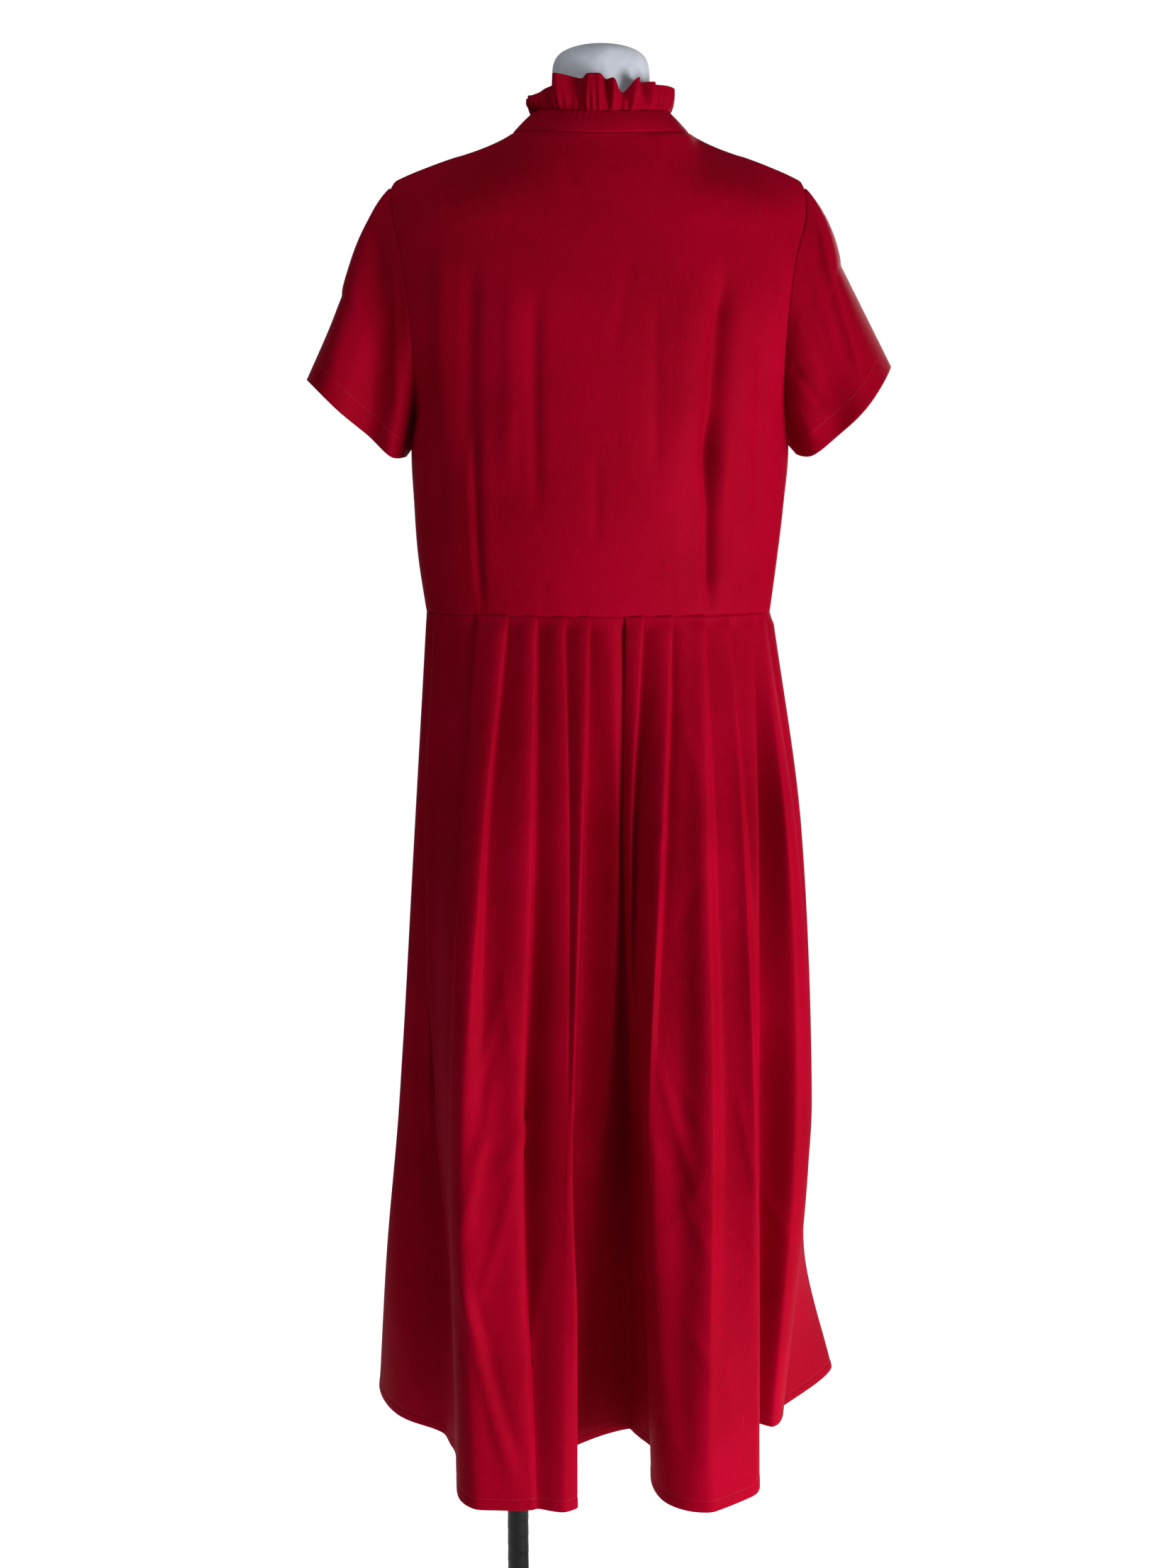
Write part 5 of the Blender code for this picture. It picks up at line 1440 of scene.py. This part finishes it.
def skirt_sheet(folds):
    """Rows of points of a skirt panel: its top lies behind the bodice, a front's sides behind the back."""
    columns = skirt_columns(folds)
    rows = [skirt_row(folds, columns, height) for height in skirt_heights()]
    for row in rows:
        for end, inner in ((0, 1), (-1, -2)):
            along = (row[end] - row[inner]).normalized()
            if folds is FRONT_FOLDS:
                behind = Vector((row[end].x, 0, 0)).normalized() * TURNING_DEPTH
                row[end] = row[end] + along * TURNING_WIDTH - behind
            else:
                row[end] = row[end] - along * SEAM_GAP
    for number, point in enumerate(rows[0]):
        inward = Vector((point.x, point.y, 0)).normalized() * TURNING_DEPTH
        rows[0][number] = point - inward + Vector((0, 0, TURNING_WIDTH))
    return rows


def place_in(rows):
    def place(u, v):
        row = rows[round(v * (len(rows) - 1))]
        return row[round(u * (len(row) - 1))]
    return place


def weave_in(rows):
    """Where each point lies on the flat cloth: along the middle row, and down from the waist."""
    middle = rows[len(rows) // 2]
    along = [0.0]
    for before, after in zip(middle, middle[1:]):
        along.append(along[-1] + (after - before).length)

    def weave(u, v):
        return along[round(u * (len(middle) - 1))], rows[0][0].z - rows[round(v * (len(rows) - 1))][0].z
    return weave


def skirt_relief(creases):
    def relief(point, u, v):
        above_hem = point.z - HEM_HEIGHT
        height = crease_height(creases, point.x, point.z)
        height += seam_dip(min(u, 1 - u) * SKIRT_CUT[0])
        fold = HEM_FOLD_LIFT * eased((SKIRT_HEM + 0.001 - above_hem) / 0.002)
        return height + fold - HEM_GROOVE * exp(-((above_hem - SKIRT_HEM) / HEM_GROOVE_WIDTH) ** 2)
    return relief


def hem_route(rows):
    """The line of the hem's stitching on a skirt panel, with normals into the cloth, as it is drawn in."""
    number = min(range(len(rows)), key=lambda index: abs(rows[index][0].z - HEM_HEIGHT - SKIRT_HEM))
    row = rows[number]
    route = []
    for index in range(1, len(row) - 1):
        along = row[index + 1] - row[index - 1]
        normal = along.cross(Vector((0, 0, 1))) * -1.0
        normal.normalize()
        route.append((row[index], normal))
    return route


hem_routes = []
for name, folds, creases in (("skirt_back_crepe", BACK_FOLDS, SKIRT_BACK_CREASES),
                             ("skirt_front_crepe", FRONT_FOLDS, SKIRT_FRONT_CREASES)):
    rows = skirt_sheet(folds)
    skirt = crepe_sheet(name, place_in(rows), len(rows[0]) - 1, len(rows) - 1, SKIRT_CUT,
                        relief=skirt_relief(creases), turned=True, weave=weave_in(rows))
    hem_routes.append(laid_on(skirt, hem_route(rows)))
stitches("hem_stitching", hem_routes)


# ---- floor, light and camera ----
# A plain pale floor that fades out, a pale surround, and soft light from the picture's right: the side of the
# wearer's right arm. The camera stands behind the form, at the height of its chest, and looks slightly down.
FLOOR_RADIUS = 6.0
FLOOR_WHITE = (0.86, 0.86, 0.87)
FLOOR_GLOW = 0.50
SURROUND_SEEN = 1.0
SURROUND_LIGHT = 0.11
CAMERA_PLACE = Vector((0.0118, 1.75, 1.222))
CAMERA_TILT = radians(9.0)
CAMERA_LENS = 41.73
LIGHTS = (
    # name            place                 aim                 size   watts  colour
    ("key",          (-1.72, 1.40, 0.48),  (0.0, 0.05, 0.80),  1.30,  70.0, (1.0, 0.99, 0.98)),
    ("shoulder",     (1.20, 0.90, 2.60),   (0.0, 0.00, 1.35),  1.00,   9.0, (0.97, 0.98, 1.0)),
    ("overhead",     (-0.70, 1.60, 2.80),  (0.0, 0.00, 1.40),  1.80,   6.0, (1.0, 1.0, 1.0)),
    ("front_key",    (-0.70, -2.50, 1.90), (0.0, 0.00, 0.95),  1.20,  80.0, (1.0, 0.99, 0.98)),
    ("front_fill",   (0.90, -2.70, 1.30),  (0.0, 0.00, 0.95),  1.80,   6.0, (0.97, 0.98, 1.0)),
)


def floor_material():
    material, tree, shader = shader_of("pale_floor", 0.9)
    shader.inputs["Base Color"].default_value = (*FLOOR_WHITE, 1.0)
    shader.inputs["Emission Color"].default_value = (1.0, 1.0, 1.0, 1.0)
    shader.inputs["Emission Strength"].default_value = FLOOR_GLOW
    place = tree.nodes.new("ShaderNodeTexCoord").outputs["Object"]
    distance = tree.nodes.new("ShaderNodeVectorMath")
    distance.operation = "LENGTH"
    fade = tree.nodes.new("ShaderNodeMapRange")
    fade.inputs["From Min"].default_value = 0.5
    fade.inputs["From Max"].default_value = 1.9
    fade.inputs["To Min"].default_value = 1.0
    fade.inputs["To Max"].default_value = 0.0
    tree.links.new(place, distance.inputs[0])
    tree.links.new(distance.outputs["Value"], fade.inputs["Value"])
    tree.links.new(fade.outputs["Result"], shader.inputs["Alpha"])
    return material


floor_shape = bmesh.new()
bmesh.ops.create_circle(floor_shape, cap_ends=True, radius=FLOOR_RADIUS, segments=64)
floor_mesh = bpy.data.meshes.new("floor")
floor_shape.to_mesh(floor_mesh)
floor_shape.free()
floor_mesh.materials.append(floor_material())
floor_piece = bpy.data.objects.new("floor", floor_mesh)
bpy.context.scene.collection.objects.link(floor_piece)

surround = bpy.data.worlds.new("pale_surround")
surround.use_nodes = True
sky = surround.node_tree
seen = sky.nodes["Background"]
seen.inputs["Color"].default_value = (1.0, 1.0, 1.0, 1.0)
seen.inputs["Strength"].default_value = SURROUND_SEEN
light = sky.nodes.new("ShaderNodeBackground")
light.inputs["Color"].default_value = (0.94, 0.96, 1.0, 1.0)
light.inputs["Strength"].default_value = SURROUND_LIGHT
path = sky.nodes.new("ShaderNodeLightPath")
choice = sky.nodes.new("ShaderNodeMixShader")
sky.links.new(path.outputs["Is Camera Ray"], choice.inputs["Fac"])
sky.links.new(light.outputs["Background"], choice.inputs[1])
sky.links.new(seen.outputs["Background"], choice.inputs[2])
sky.links.new(choice.outputs["Shader"], sky.nodes["World Output"].inputs["Surface"])
bpy.context.scene.world = surround

for name, place, aim, size, watts, colour in LIGHTS:
    lamp = bpy.data.lights.new(name, "AREA")
    lamp.shape = "SQUARE"
    lamp.size = size
    lamp.energy = watts
    lamp.color = colour
    holder = bpy.data.objects.new(name, lamp)
    holder.location = place
    holder.rotation_euler = (Vector(aim) - Vector(place)).to_track_quat("-Z", "Y").to_euler()
    bpy.context.scene.collection.objects.link(holder)

camera = bpy.data.cameras.new("camera")
camera.lens = CAMERA_LENS
eye = bpy.data.objects.new("camera", camera)
eye.location = CAMERA_PLACE
eye.rotation_euler = (pi / 2 - CAMERA_TILT, 0.0, pi)
bpy.context.scene.collection.objects.link(eye)
bpy.context.scene.camera = eye
bpy.context.scene.view_settings.view_transform = "Standard"
